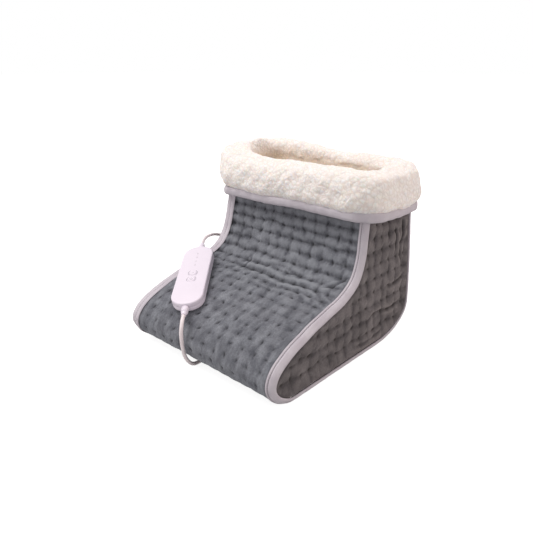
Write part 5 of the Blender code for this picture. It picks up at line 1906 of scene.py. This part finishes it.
# Hand control, in its own frame: +X across, +Y towards the boot's lead, +Z out of the face
@dataclass
class HandControl:
    """The hand control's housing, buttons, marks and strain reliefs."""

    joints: Sequence[dict]
    length: float = 0.142
    width: float = 0.046
    height: float = 0.0145
    corner: float = 0.0215
    edge: float = 0.0022
    rim: float = 0.00025
    rim_angle: float = math.radians(50)
    wall: float = 0.0018
    parting_gap: float = 0.0003
    face_bore: Pair = (-0.004, 0.002)
    screw_inset: float = 0.0150
    screw_radius: float = 0.0029
    screw_depth: float = 0.0021
    screw_overrun: float = 0.002
    button_radius: float = 0.0055
    button_rise: float = 0.0004
    button_crown: float = 0.0002
    button_crown_share: float = 0.92
    button_round: float = 0.00045
    button_clearance: float = 0.0003
    flange_radius: float = 0.0068
    flange_thickness: float = 0.0010
    stem_radius: float = 0.0016
    stem_length: float = 0.0016
    level_along: float = -0.0005
    power_along: float = -0.0150
    light_spacing: float = 0.0099
    light_last_along: float = 0.0200
    light_radius: float = 0.0009
    sign_width: float = 0.00075
    sign_radius: float = 0.0018
    sign_proud: float = 0.00012
    arc_width: float = 0.00050
    arc_radius: float = 0.0069
    arc_half_turn: float = math.radians(52)
    print_flat_share: float = 0.25
    relief_length: float = 0.016
    relief_neck: float = 0.0034
    relief_bore_depth: float = 0.012
    round_steps: int = 64
    pose: Matrix = field(init=False)

    def __post_init__(self) -> None:
        """Find the face's frame from the two buttons and their joints."""
        up = -Vector(self.joints[0]["axis"]).normalized()
        level = self.key_middle("level_button", up)
        along = (level - self.key_middle("power_button", up)).normalized()
        across = along.cross(up).normalized()
        along = up.cross(across)
        middle = level - along * self.level_along
        turn = Matrix((across, along, up)).transposed().to_4x4()
        self.pose = Matrix.Translation(middle) @ turn

    def key_middle(self, node: str, up: Vector) -> Vector:
        """The point of a button's axis that lies level with the face.

        Args:
            node: The button's node.
            up: The direction out of the face.

        Returns:
            The point.
        """
        points = points_of(bpy.data.objects[node])
        middle = Vector(points.mean(axis=0))
        top = float((points @ np.array(up)).max())
        return middle + up * (top - self.button_rise - middle.dot(up))

    def stand(self, piece: Object) -> None:
        """Move a finished piece from the control's frame to its place in the scene."""
        apply_place(piece)
        piece.data.transform(self.pose)
        piece.data.update()

    def bore(self, target: Object, radius: float, low: float, high: float, along: float) -> None:
        """Cut a round hole along the control's Z.

        Args:
            target: The piece to cut.
            radius: The hole's radius.
            low: Its lower end.
            high: Its upper end.
            along: Its place on the long axis.
        """
        bpy.ops.mesh.primitive_cylinder_add(
            vertices=self.round_steps, radius=radius, depth=high - low,
            location=(0.0, along, (low + high) / 2),
        )
        cut(target, named("bore"))

    def half(self, name: str, low: float, high: float, closed: float) -> Object:
        """One half of the housing: a rounded box, open at the parting, with a wall.

        Args:
            name: The piece's name.
            low: Its lower level.
            high: Its upper level.
            closed: The level of its closed face.

        Returns:
            The half, still in the control's frame.
        """
        bpy.ops.mesh.primitive_cube_add(size=1.0, location=(0.0, 0.0, (low + high) / 2))
        half = named(name)
        half.scale = (self.width, self.length, high - low)
        apply_place(half)
        with edit_mode(half):
            tall = (high - low) / 2
            select(half, "EDGE", lambda edge: abs(edge.verts[0].co.z - edge.verts[1].co.z) > tall)
            bpy.ops.mesh.bevel(offset=self.corner, segments=28, affect="EDGES")
            bpy.ops.mesh.select_all(action="DESELECT")
            open_at = low + high - closed
            select(half, "FACE", lambda face: abs(face.calc_center_median().z - open_at) < MERGE_DISTANCE)
            bpy.ops.mesh.delete(type="ONLY_FACE")
            select(half, "EDGE", lambda edge: all(abs(v.co.z - closed) < MERGE_DISTANCE for v in edge.verts))
            bpy.ops.mesh.bevel(offset=self.edge, segments=6, affect="EDGES")
        wall = half.modifiers.new("wall", "SOLIDIFY")
        wall.thickness = self.wall
        wall.offset = -1.0
        wall.use_even_offset = True
        rim = half.modifiers.new("rim", "BEVEL")
        rim.width = self.rim
        rim.segments = 2
        rim.limit_method = "ANGLE"
        rim.angle_limit = self.rim_angle
        apply_modifiers(half)
        return half

    def housing(self) -> None:
        """Make both halves, with their holes."""
        parting = -self.height / 2
        top = self.half("control_top", parting + self.parting_gap / 2, 0.0, 0.0)
        bottom = self.half("control_bottom", -self.height, parting - self.parting_gap / 2, -self.height)
        for along in (self.level_along, self.power_along):
            self.bore(top, self.button_radius + self.button_clearance, *self.face_bore, along)
        for number in range(4):
            along = self.light_last_along + number * self.light_spacing
            self.bore(top, self.light_radius + self.parting_gap, *self.face_bore, along)
        for along in (-1, 1):
            screw = along * (self.length / 2 - self.screw_inset)
            low = -self.height - self.screw_overrun
            self.bore(bottom, self.screw_radius, low, -self.height + self.screw_depth, screw)
            for half in (top, bottom):
                bpy.ops.mesh.primitive_cylinder_add(
                    vertices=self.round_steps, radius=self.relief_neck + self.parting_gap,
                    depth=self.relief_bore_depth, location=(0.0, along * self.length / 2, parting),
                    rotation=(math.pi / 2, 0.0, 0.0),
                )
                cut(half, named("relief_bore"))
        for half, node in ((top, "control_top_shell"), (bottom, "control_bottom_shell")):
            soften_normals(half)
            self.stand(half)
            settle(half, BOOT_BODY, CONTROL_PLASTIC, node)

    def button(self, name: str, along: float) -> None:
        """Turn one key, slightly domed, with its flange and stem.

        Args:
            name: The button's node and body.
            along: Its place on the long axis.
        """
        under = -self.wall - self.parting_gap
        radius = self.button_radius
        profile = []
        for step in range(8):
            share = step / 8
            crown = self.button_crown * (1 - share ** 2)
            profile.append((radius * self.button_crown_share * share, self.button_rise + crown))
        inset = self.button_round
        for step in range(5):
            angle = math.pi / 2 * step / 4
            level = self.button_rise - inset * (1 - math.cos(angle))
            profile.append((radius - inset + inset * math.sin(angle), level))
        flange = under - self.flange_thickness
        foot = flange - self.stem_length
        profile += [
            (radius, under), (self.flange_radius, under), (self.flange_radius, flange),
            (self.stem_radius, flange), (self.stem_radius, foot), (0.0, foot),
        ]
        key = turned(name + "_key", profile, self.round_steps)
        key.location = (0.0, along, 0.0)
        self.stand(key)
        settle(key, name, CONTROL_PLASTIC, name)

    def mark(self, name: str, body: str, strokes: Sequence[Sequence[Pair]], width: float, z: float) -> None:
        """Print a mark as thin rounded strokes that stand just proud of the face.

        Args:
            name: The mark's name.
            body: The body that it rides on.
            strokes: Each stroke's points as x and y in the control's frame.
            width: How wide the strokes are.
            z: The level of the face.
        """
        mark = poly_curve(name, width, 3, [[(x, y, 0.0) for x, y in stroke] for stroke in strokes])
        select_only(mark)
        bpy.ops.object.convert(target="MESH")
        points = points_of(mark)
        points[:, 2] = z + points[:, 2] * self.print_flat_share
        move_points(mark, points)
        self.stand(mark)
        settle(mark, body, PRINT_GREY)

    def marks(self) -> None:
        """The plain symbols on the keys and the arcs beside them."""
        level = self.level_along
        power = self.power_along
        face = self.button_rise + self.sign_proud
        chevron = ((-0.0017, level - 0.0008), (0.0, level + 0.0012), (0.0017, level - 0.0008))
        self.mark("level_mark", "level_button", (chevron,), self.sign_width, face)
        turn = np.linspace(math.radians(40), math.radians(320), 25)
        radius = self.sign_radius
        ring = [(radius * math.sin(a), power - 0.0002 + radius * math.cos(a)) for a in turn]
        stem = ((0.0, power + 0.0004), (0.0, power + 0.0021))
        self.mark("power_mark", "power_button", (ring, stem), self.sign_width, face)
        arcs = []
        radius = self.arc_radius
        for along in (level, power):
            for middle in (0.0, math.pi):
                turn = np.linspace(middle - self.arc_half_turn, middle + self.arc_half_turn, 19)
                arcs.append([(radius * math.cos(a), along + radius * math.sin(a)) for a in turn])
        self.mark("key_arcs", BOOT_BODY, arcs, self.arc_width, 0.0)

    def relief(self, name: str, sign: int) -> None:
        """Turn one strain relief: a neck, a wider collar and a long taper.

        Args:
            name: The node it stands for.
            sign: 1 at the boot's lead, -1 at the other end.
        """
        profile = (
            (0.0, self.relief_length), (0.0033, self.relief_length), (0.0036, self.relief_length - 0.0003),
            (0.0040, 0.0105), (0.0042, 0.0101), (0.0049, 0.0099), (0.0050, 0.0096), (0.0050, 0.0008),
            (0.0047, 0.0003), (0.0034, 0.0003), (0.0034, -0.0028), (0.0048, -0.0028), (0.0048, -0.0042),
            (0.0, -0.0042),
        )
        relief = turned(name + "_moulding", profile, self.round_steps)
        relief.rotation_euler = (-sign * math.pi / 2, 0.0, 0.0)
        relief.location = (0.0, sign * self.length / 2, -self.height / 2)
        self.stand(relief)
        settle(relief, BOOT_BODY, CONTROL_PLASTIC, name)

    def relief_end(self, sign: int) -> tuple[Vector, Vector]:
        """Where a cord meets a strain relief, and the direction away from the control.

        Args:
            sign: 1 at the boot's lead, -1 at the other end.

        Returns:
            The point and the direction.
        """
        heading = (self.pose.to_3x3() @ Vector((0.0, sign, 0.0))).normalized()
        reach = self.length / 2 + self.relief_length + TOUCH_GAP
        end = self.pose @ Vector((0.0, sign * reach, -self.height / 2))
        return end, heading

    def build(self) -> None:
        """Make the whole control."""
        self.housing()
        self.button("level_button", self.level_along)
        self.button("power_button", self.power_along)
        self.marks()
        self.relief("upper_strain_relief", 1)
        self.relief("lower_strain_relief", -1)


def cut(target: Object, tool: Object) -> None:
    """Cut one closed piece out of another and take the tool away.

    Args:
        target: The piece to cut.
        tool: The piece whose form is taken out.
    """
    modifier = target.modifiers.new("cut", "BOOLEAN")
    modifier.operation = "DIFFERENCE"
    modifier.solver = "EXACT"
    modifier.object = tool
    apply_modifiers(target)
    bpy.data.objects.remove(tool)


def soften_normals(piece: Object, angle: float = 35.0) -> None:
    """Shade a piece smooth except across sharp edges."""
    select_only(piece)
    bpy.ops.object.shade_smooth()
    piece.data.set_sharp_from_angle(angle=math.radians(angle))


def turned(name: str, profile: Sequence[Pair], steps: int) -> Object:
    """Turn a profile of radius and height about Z.

    Args:
        name: The piece's name.
        profile: Points from the top's middle down the outer side to the bottom's middle.
        steps: How many steps go round.

    Returns:
        The closed solid at the origin.
    """
    bpy.ops.mesh.primitive_circle_add(vertices=len(profile), radius=1.0)
    piece = named(name)
    with edit_mode(piece):
        select(piece, "EDGE", lambda edge: {v.index for v in edge.verts} == {0, len(profile) - 1})
        bpy.ops.mesh.delete(type="EDGE")
        mesh = bmesh.from_edit_mesh(piece.data)
        mesh.verts.ensure_lookup_table()
        for vert, (radius, height) in zip(mesh.verts, profile):
            vert.co = (radius, 0.0, height)
        bpy.ops.mesh.select_all(action="SELECT")
        bpy.ops.mesh.spin(steps=steps, angle=2 * math.pi, center=(0.0, 0.0, 0.0), axis=(0.0, 0.0, 1.0))
        merge_doubles()
        face_outwards()
    soften_normals(piece)
    return piece


# Gland, cords and plug
class Lay(Enum):
    """How a cord lies."""

    LOOSE = "loose"
    COILED = "coiled"


@dataclass
class Cords:
    """The lead from the boot to the hand control, and the lead from there to the plug."""

    shape: BootShape
    control: HandControl
    diameter: float = 0.0052
    gland_y: float = 0.0665
    gland_z: float = 0.1005
    gland_reach: float = 0.0092
    gland_recess: float = 0.0015
    channel_x: float = -0.0125
    turns: float = 7.375
    pitch: float = 0.0059
    inner_radius: float = 0.020
    behind: float = 0.0630
    climb_turns: float = 0.5
    tail_turns: float = 0.8
    tail_drop_turns: float = 0.35
    tail_out: float = 0.0045
    lift: float = 0.0011
    plug_height: float = 0.00715
    points_per_turn: int = 40
    floor_clearance: float = 0.0001
    even_step: float = 0.005
    lead_points: tuple[Place, ...] = (
        (-0.1472, 0.1565, 0.1210), (-0.1540, 0.1705, 0.1203), (-0.1600, 0.1850, 0.1178),
        (-0.1655, 0.1985, 0.1135), (-0.1683, 0.2100, 0.1090), (-0.1672, 0.2205, 0.1055),
        (-0.1619, 0.2280, 0.1030),
    )

    @property
    def floor(self) -> float:
        """The height of a cord's centre where it lies on the floor."""
        return self.diameter / 2 + self.floor_clearance

    def mains_points(self) -> tuple[Place, ...]:
        """The lead's way from the hand control under the boot, as x, y from the toe, and z.

        Returns:
            The points in order.
        """
        x = self.channel_x
        low = self.floor
        return (
            (-0.0168, -0.0015, 0.0645), (-0.0148, -0.0045, 0.0550), (-0.0138, -0.0050, 0.0440),
            (-0.0127, -0.0045, 0.0320), (-0.0115, -0.0025, 0.0205), (-0.0108, 0.0028, 0.0110),
            (-0.0112, 0.0092, 0.0051), (-0.0119, 0.0155, 0.0030), (x, 0.0230, low), (x, 0.0350, low),
            (x, 0.0900, low), (x, 0.1600, low), (x, 0.2300, low), (x, 0.3000, low), (x, 0.3450, low),
        )

    def gland_frame(self) -> Matrix:
        """The gland's place on the left side, its +Z outwards.

        Returns:
            The frame in the scene.
        """
        lean = math.atan(self.shape.lean_share)
        outside = self.shape.half_width(self.gland_z) - self.gland_recess
        place = Vector((-outside, self.gland_y, self.gland_z))
        return Matrix.Translation(place) @ Matrix.Rotation(lean - math.pi / 2, 4, "Y")

    def gland(self) -> None:
        """Turn the moulded gland that the lead comes out of."""
        base = -TOUCH_GAP
        profile = (
            (0.0, base + 0.0095), (0.0028, base + 0.0095), (0.0032, base + 0.0090), (0.0036, base + 0.0030),
            (0.0042, base + 0.0019), (0.0060, base + 0.0014), (0.0065, base + 0.0010), (0.0065, base),
            (0.0038, base), (0.0038, -0.0078), (0.0055, -0.0078), (0.0055, -0.0120), (0.0, -0.0120),
        )
        gland = turned("lead_gland", profile, 64)
        gland.data.transform(self.gland_frame())
        settle(gland, BOOT_BODY, CORD_JACKET, "cord_gland")

    def coil_radius(self, turn: float) -> float:
        """How far out a point of the coil lies."""
        radius = self.inner_radius + self.pitch * abs(turn - self.turns / 2)
        return radius + self.tail_out * smooth_step((turn - self.turns + self.tail_turns) / self.climb_turns)

    def coil_centre(self) -> Pair:
        """The middle of the coil behind the boot."""
        outer = self.inner_radius + self.pitch * self.turns / 2
        return self.channel_x - outer, self.shape.length + self.behind - self.shape.centre_y

    def coil_point(self, turn: float) -> Place:
        """A point of the coil: it spirals in below and out again above.

        Args:
            turn: How many turns along the coil it lies.

        Returns:
            Its x, y and z.
        """
        low = self.lift + self.diameter / 2
        high = low + self.pitch
        rise = smooth_step((turn - self.turns / 2) / self.climb_turns + 0.5)
        height = low + self.pitch * rise
        height -= (high - self.plug_height) * smooth_step((turn - self.turns) / self.tail_drop_turns + 1)
        angle = 2 * math.pi * turn
        radius = self.coil_radius(turn)
        middle = self.coil_centre()
        return middle[0] + radius * math.cos(angle), middle[1] + radius * math.sin(angle), float(height)

    def tail_heading(self) -> Vector:
        """The level direction in which the coil's tail leaves."""
        angle = 2 * math.pi * self.turns
        return Vector((-math.sin(angle), math.cos(angle), 0.0))

    def line(
        self, start: Vector, heading: Vector, route: Sequence[Place], end: Vector, last: Vector,
    ) -> np.ndarray:
        """A cord's centre line, straight for one diameter at both ends.

        Args:
            start: Its first point.
            heading: Its direction there.
            route: The points between, as x, y from the toe, and z.
            end: Its last point.
            last: Its direction there.

        Returns:
            Rows of x, y and z.
        """
        middle = [(x, y - self.shape.centre_y, z) for x, y, z in route]
        straight = self.diameter
        lead_in = (tuple(start), tuple(start + heading * straight))
        points = [*lead_in, *middle, tuple(end - last * straight), tuple(end)]
        smooth = smooth_line(points, 12, tuple(heading), tuple(last))
        even = even_line(smooth, round(line_length(smooth) / self.even_step))
        even[:, 2] = np.maximum(even[:, 2], self.floor)
        return even

    def tube(self, name: str, points: np.ndarray) -> Object:
        """A round cord along a line."""
        return poly_curve(name, self.diameter, 6, (points,))

    def lead(self) -> None:
        """Run the short lead from the gland to the hand control."""
        frame = self.gland_frame()
        outward = (frame.to_3x3() @ Vector((0.0, 0.0, 1.0))).normalized()
        start = frame @ Vector((0.0, 0.0, self.gland_reach + TOUCH_GAP))
        end, heading = self.control.relief_end(1)
        points = self.line(start, outward, self.lead_points[::-1], end, -heading)
        cord = self.tube("lead", points)
        settle(cord, BOOT_BODY, CORD_JACKET, "lead_cord")

    def mains(self) -> None:
        """Run the long lead from the hand control round the toe and under the boot to its coil and plug."""
        start, heading = self.control.relief_end(-1)
        first = Vector(self.coil_point(0.0)) - Vector((0.0, self.diameter, 0.0))
        run = self.line(start, heading, self.mains_points(), first, Vector((0.0, 1.0, 0.0)))
        count = round(self.turns * self.points_per_turn)
        turns = [self.coil_point(self.turns * k / count) for k in range(count + 1)]
        tail = Vector(turns[-1]) + self.tail_heading() * self.diameter
        points = np.concatenate([run, np.array(turns), [tuple(tail)]])
        cord = self.tube("mains_lead", points)
        settle(cord, BOOT_BODY, CORD_JACKET, "mains_cord", "mains_coil")
        LOG.info("lead to the plug: %.3f m", line_length(points))

    def plug_frame(self) -> Matrix:
        """The plug's frame: +Y along its pins, its origin at the cord's end.

        Returns:
            The frame in the scene.
        """
        heading = self.tail_heading()
        start = Vector(self.coil_point(self.turns)) + heading * (self.diameter + TOUCH_GAP)
        start.z = self.plug_height
        return Matrix.Translation(start) @ Matrix.Rotation(math.atan2(-heading.x, heading.y), 4, "Z")

    def build(self) -> None:
        """Lay both leads with everything on them."""
        self.gland()
        Plug(self.plug_frame()).build()
        self.lead()
        self.mains()


# Plug, in its own frame: +Y along the pins
@dataclass
class Plug:
    """The moulded plug with two round pins, and its ribbed sleeve."""

    frame: Matrix
    sleeve_length: float = 0.024
    sleeve_bore: float = 0.0034
    sleeve_radii: Pair = (0.0036, 0.0052)
    ribs: int = 5
    rib_width: float = 0.0016
    groove_depth: float = 0.0007
    groove_width: float = 0.0014
    groove_slope: float = 0.0003
    sleeve_foot: float = 0.0005
    size: Place = (0.0355, 0.033, 0.0137)
    rear_width: float = 0.0225
    rounding: float = 0.0038
    pin_spacing: float = 0.0186
    pin_length: float = 0.019
    pin_radius: float = 0.0020
    pin_round_steps: int = 6

    @property
    def rear(self) -> float:
        """Where the body starts, past the sleeve."""
        return self.sleeve_length + TOUCH_GAP

    def stand(self, piece: Object, across: float = 0.0) -> None:
        """Lay a piece that was turned about Z along the plug, at a place across it."""
        along = Matrix.Rotation(-math.pi / 2, 4, "X")
        piece.data.transform(self.frame @ Matrix.Translation((across, 0.0, 0.0)) @ along)

    def sleeve(self) -> None:
        """Turn the sleeve, whose ribs grow towards the plug."""
        length = self.sleeve_length
        thin, thick = self.sleeve_radii
        profile = [(0.0, length), (self.sleeve_bore, length)]
        for rib in range(self.ribs):
            share = 1 - (rib + 0.5) / self.ribs
            radius = thin + (thick - thin) * (1 - share)
            middle = length * share
            groove = radius - self.groove_depth
            profile += [
                (radius, middle + self.rib_width), (radius, middle), (groove, middle - self.groove_slope),
                (groove, middle - self.groove_width),
            ]
        profile += [(thick, self.sleeve_foot), (thick, 0.0), (0.0, 0.0)]
        sleeve = turned("plug_sleeve", [(radius, length - height) for radius, height in profile][::-1], 48)
        self.stand(sleeve)
        settle(sleeve, BOOT_BODY, CORD_JACKET, "plug_strain_relief")

    def body(self) -> None:
        """Model the body: a box that narrows to the rear, well rounded."""
        middle = self.rear + self.size[1] / 2
        bpy.ops.mesh.primitive_cube_add(size=1.0, location=(0.0, middle, 0.0))
        body = named("plug_moulding")
        body.scale = self.size
        apply_place(body)
        with edit_mode(body) as mesh:
            for vert in mesh.verts:
                if vert.co.y < middle:
                    vert.co.x *= self.rear_width / self.size[0]
            bpy.ops.mesh.select_all(action="SELECT")
            bpy.ops.mesh.bevel(offset=self.rounding, segments=6, affect="EDGES")
        soften_normals(body, 60.0)
        body.data.transform(self.frame)
        settle(body, BOOT_BODY, CORD_JACKET, "plug_body")

    def pins(self) -> None:
        """Turn both pins, with round tips."""
        start = self.rear + self.size[1] + TOUCH_GAP
        end = start + self.pin_length
        radius = self.pin_radius
        turns = [math.pi / 2 * step / self.pin_round_steps for step in range(1, self.pin_round_steps + 1)]
        tip = [(radius * math.sin(turn), end - radius * (1 - math.cos(turn))) for turn in turns]
        for side, word in ((-1, "left"), (1, "right")):
            pin = turned(f"{word}_pin", [(0.0, end), *tip, (radius, start), (0.0, start)], 32)
            self.stand(pin, side * self.pin_spacing / 2)
            settle(pin, BOOT_BODY, PLATED_BRASS, f"plug_pin_{word}")

    def build(self) -> None:
        """Make the whole plug."""
        self.sleeve()
        self.body()
        self.pins()


def line_length(points: np.ndarray) -> float:
    """The length of a line of points."""
    return float(np.linalg.norm(np.diff(points, axis=0), axis=1).sum())


# Pieces that stay as they are in the model
KEPT_PIECES = (
    (SHADED_PLUSH_SIDE, ("sole_panel",)),
    (WADDING, ("front_wadding", "back_wadding", "left_wadding", "right_wadding")),
    (FELT, ("heating_pad",)),
    (WIRE_SLEEVE, ("heating_wire",)),
    (BLACK_PLASTIC, (
        "thermal_cutout_toe", "thermal_cutout_heel", "lead_splice", "power_switch", "level_switch",
        "board_triac", "coil_tie",
    )),
    (CORD_JACKET, ("inner_lead",)),
    (LIGHT_PLASTIC, (
        "light_guide", "indicator_light_1", "indicator_light_2", "indicator_light_3", "indicator_light_4",
    )),
    (BOARD_GREEN, ("circuit_board",)),
    (STEEL, ("board_fuse", "case_screw_upper", "case_screw_lower")),
    (CAPACITOR, ("board_capacitor",)),
)


def dress_kept_pieces(nodes: dict[str, Object]) -> None:
    """Give the model's own pieces that stay in view their finishes."""
    for finish, names in KEPT_PIECES:
        for name in names:
            dress(nodes[name], finish)


def main() -> None:
    """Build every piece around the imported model, in order."""
    logging.basicConfig(level=logging.INFO, format="%(name)s: %(message)s")
    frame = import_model()
    Studio().build()
    shape = BootShape()
    dress_kept_pieces(frame["nodes"])
    control = HandControl(frame["joints"])
    control.build()
    Cords(shape, control).build()
    QuiltedShell(shape).build()
    EdgeBinding(shape).build()
    Collar(shape).build()
    Lining().build()


if __name__ == "__main__":
    main()
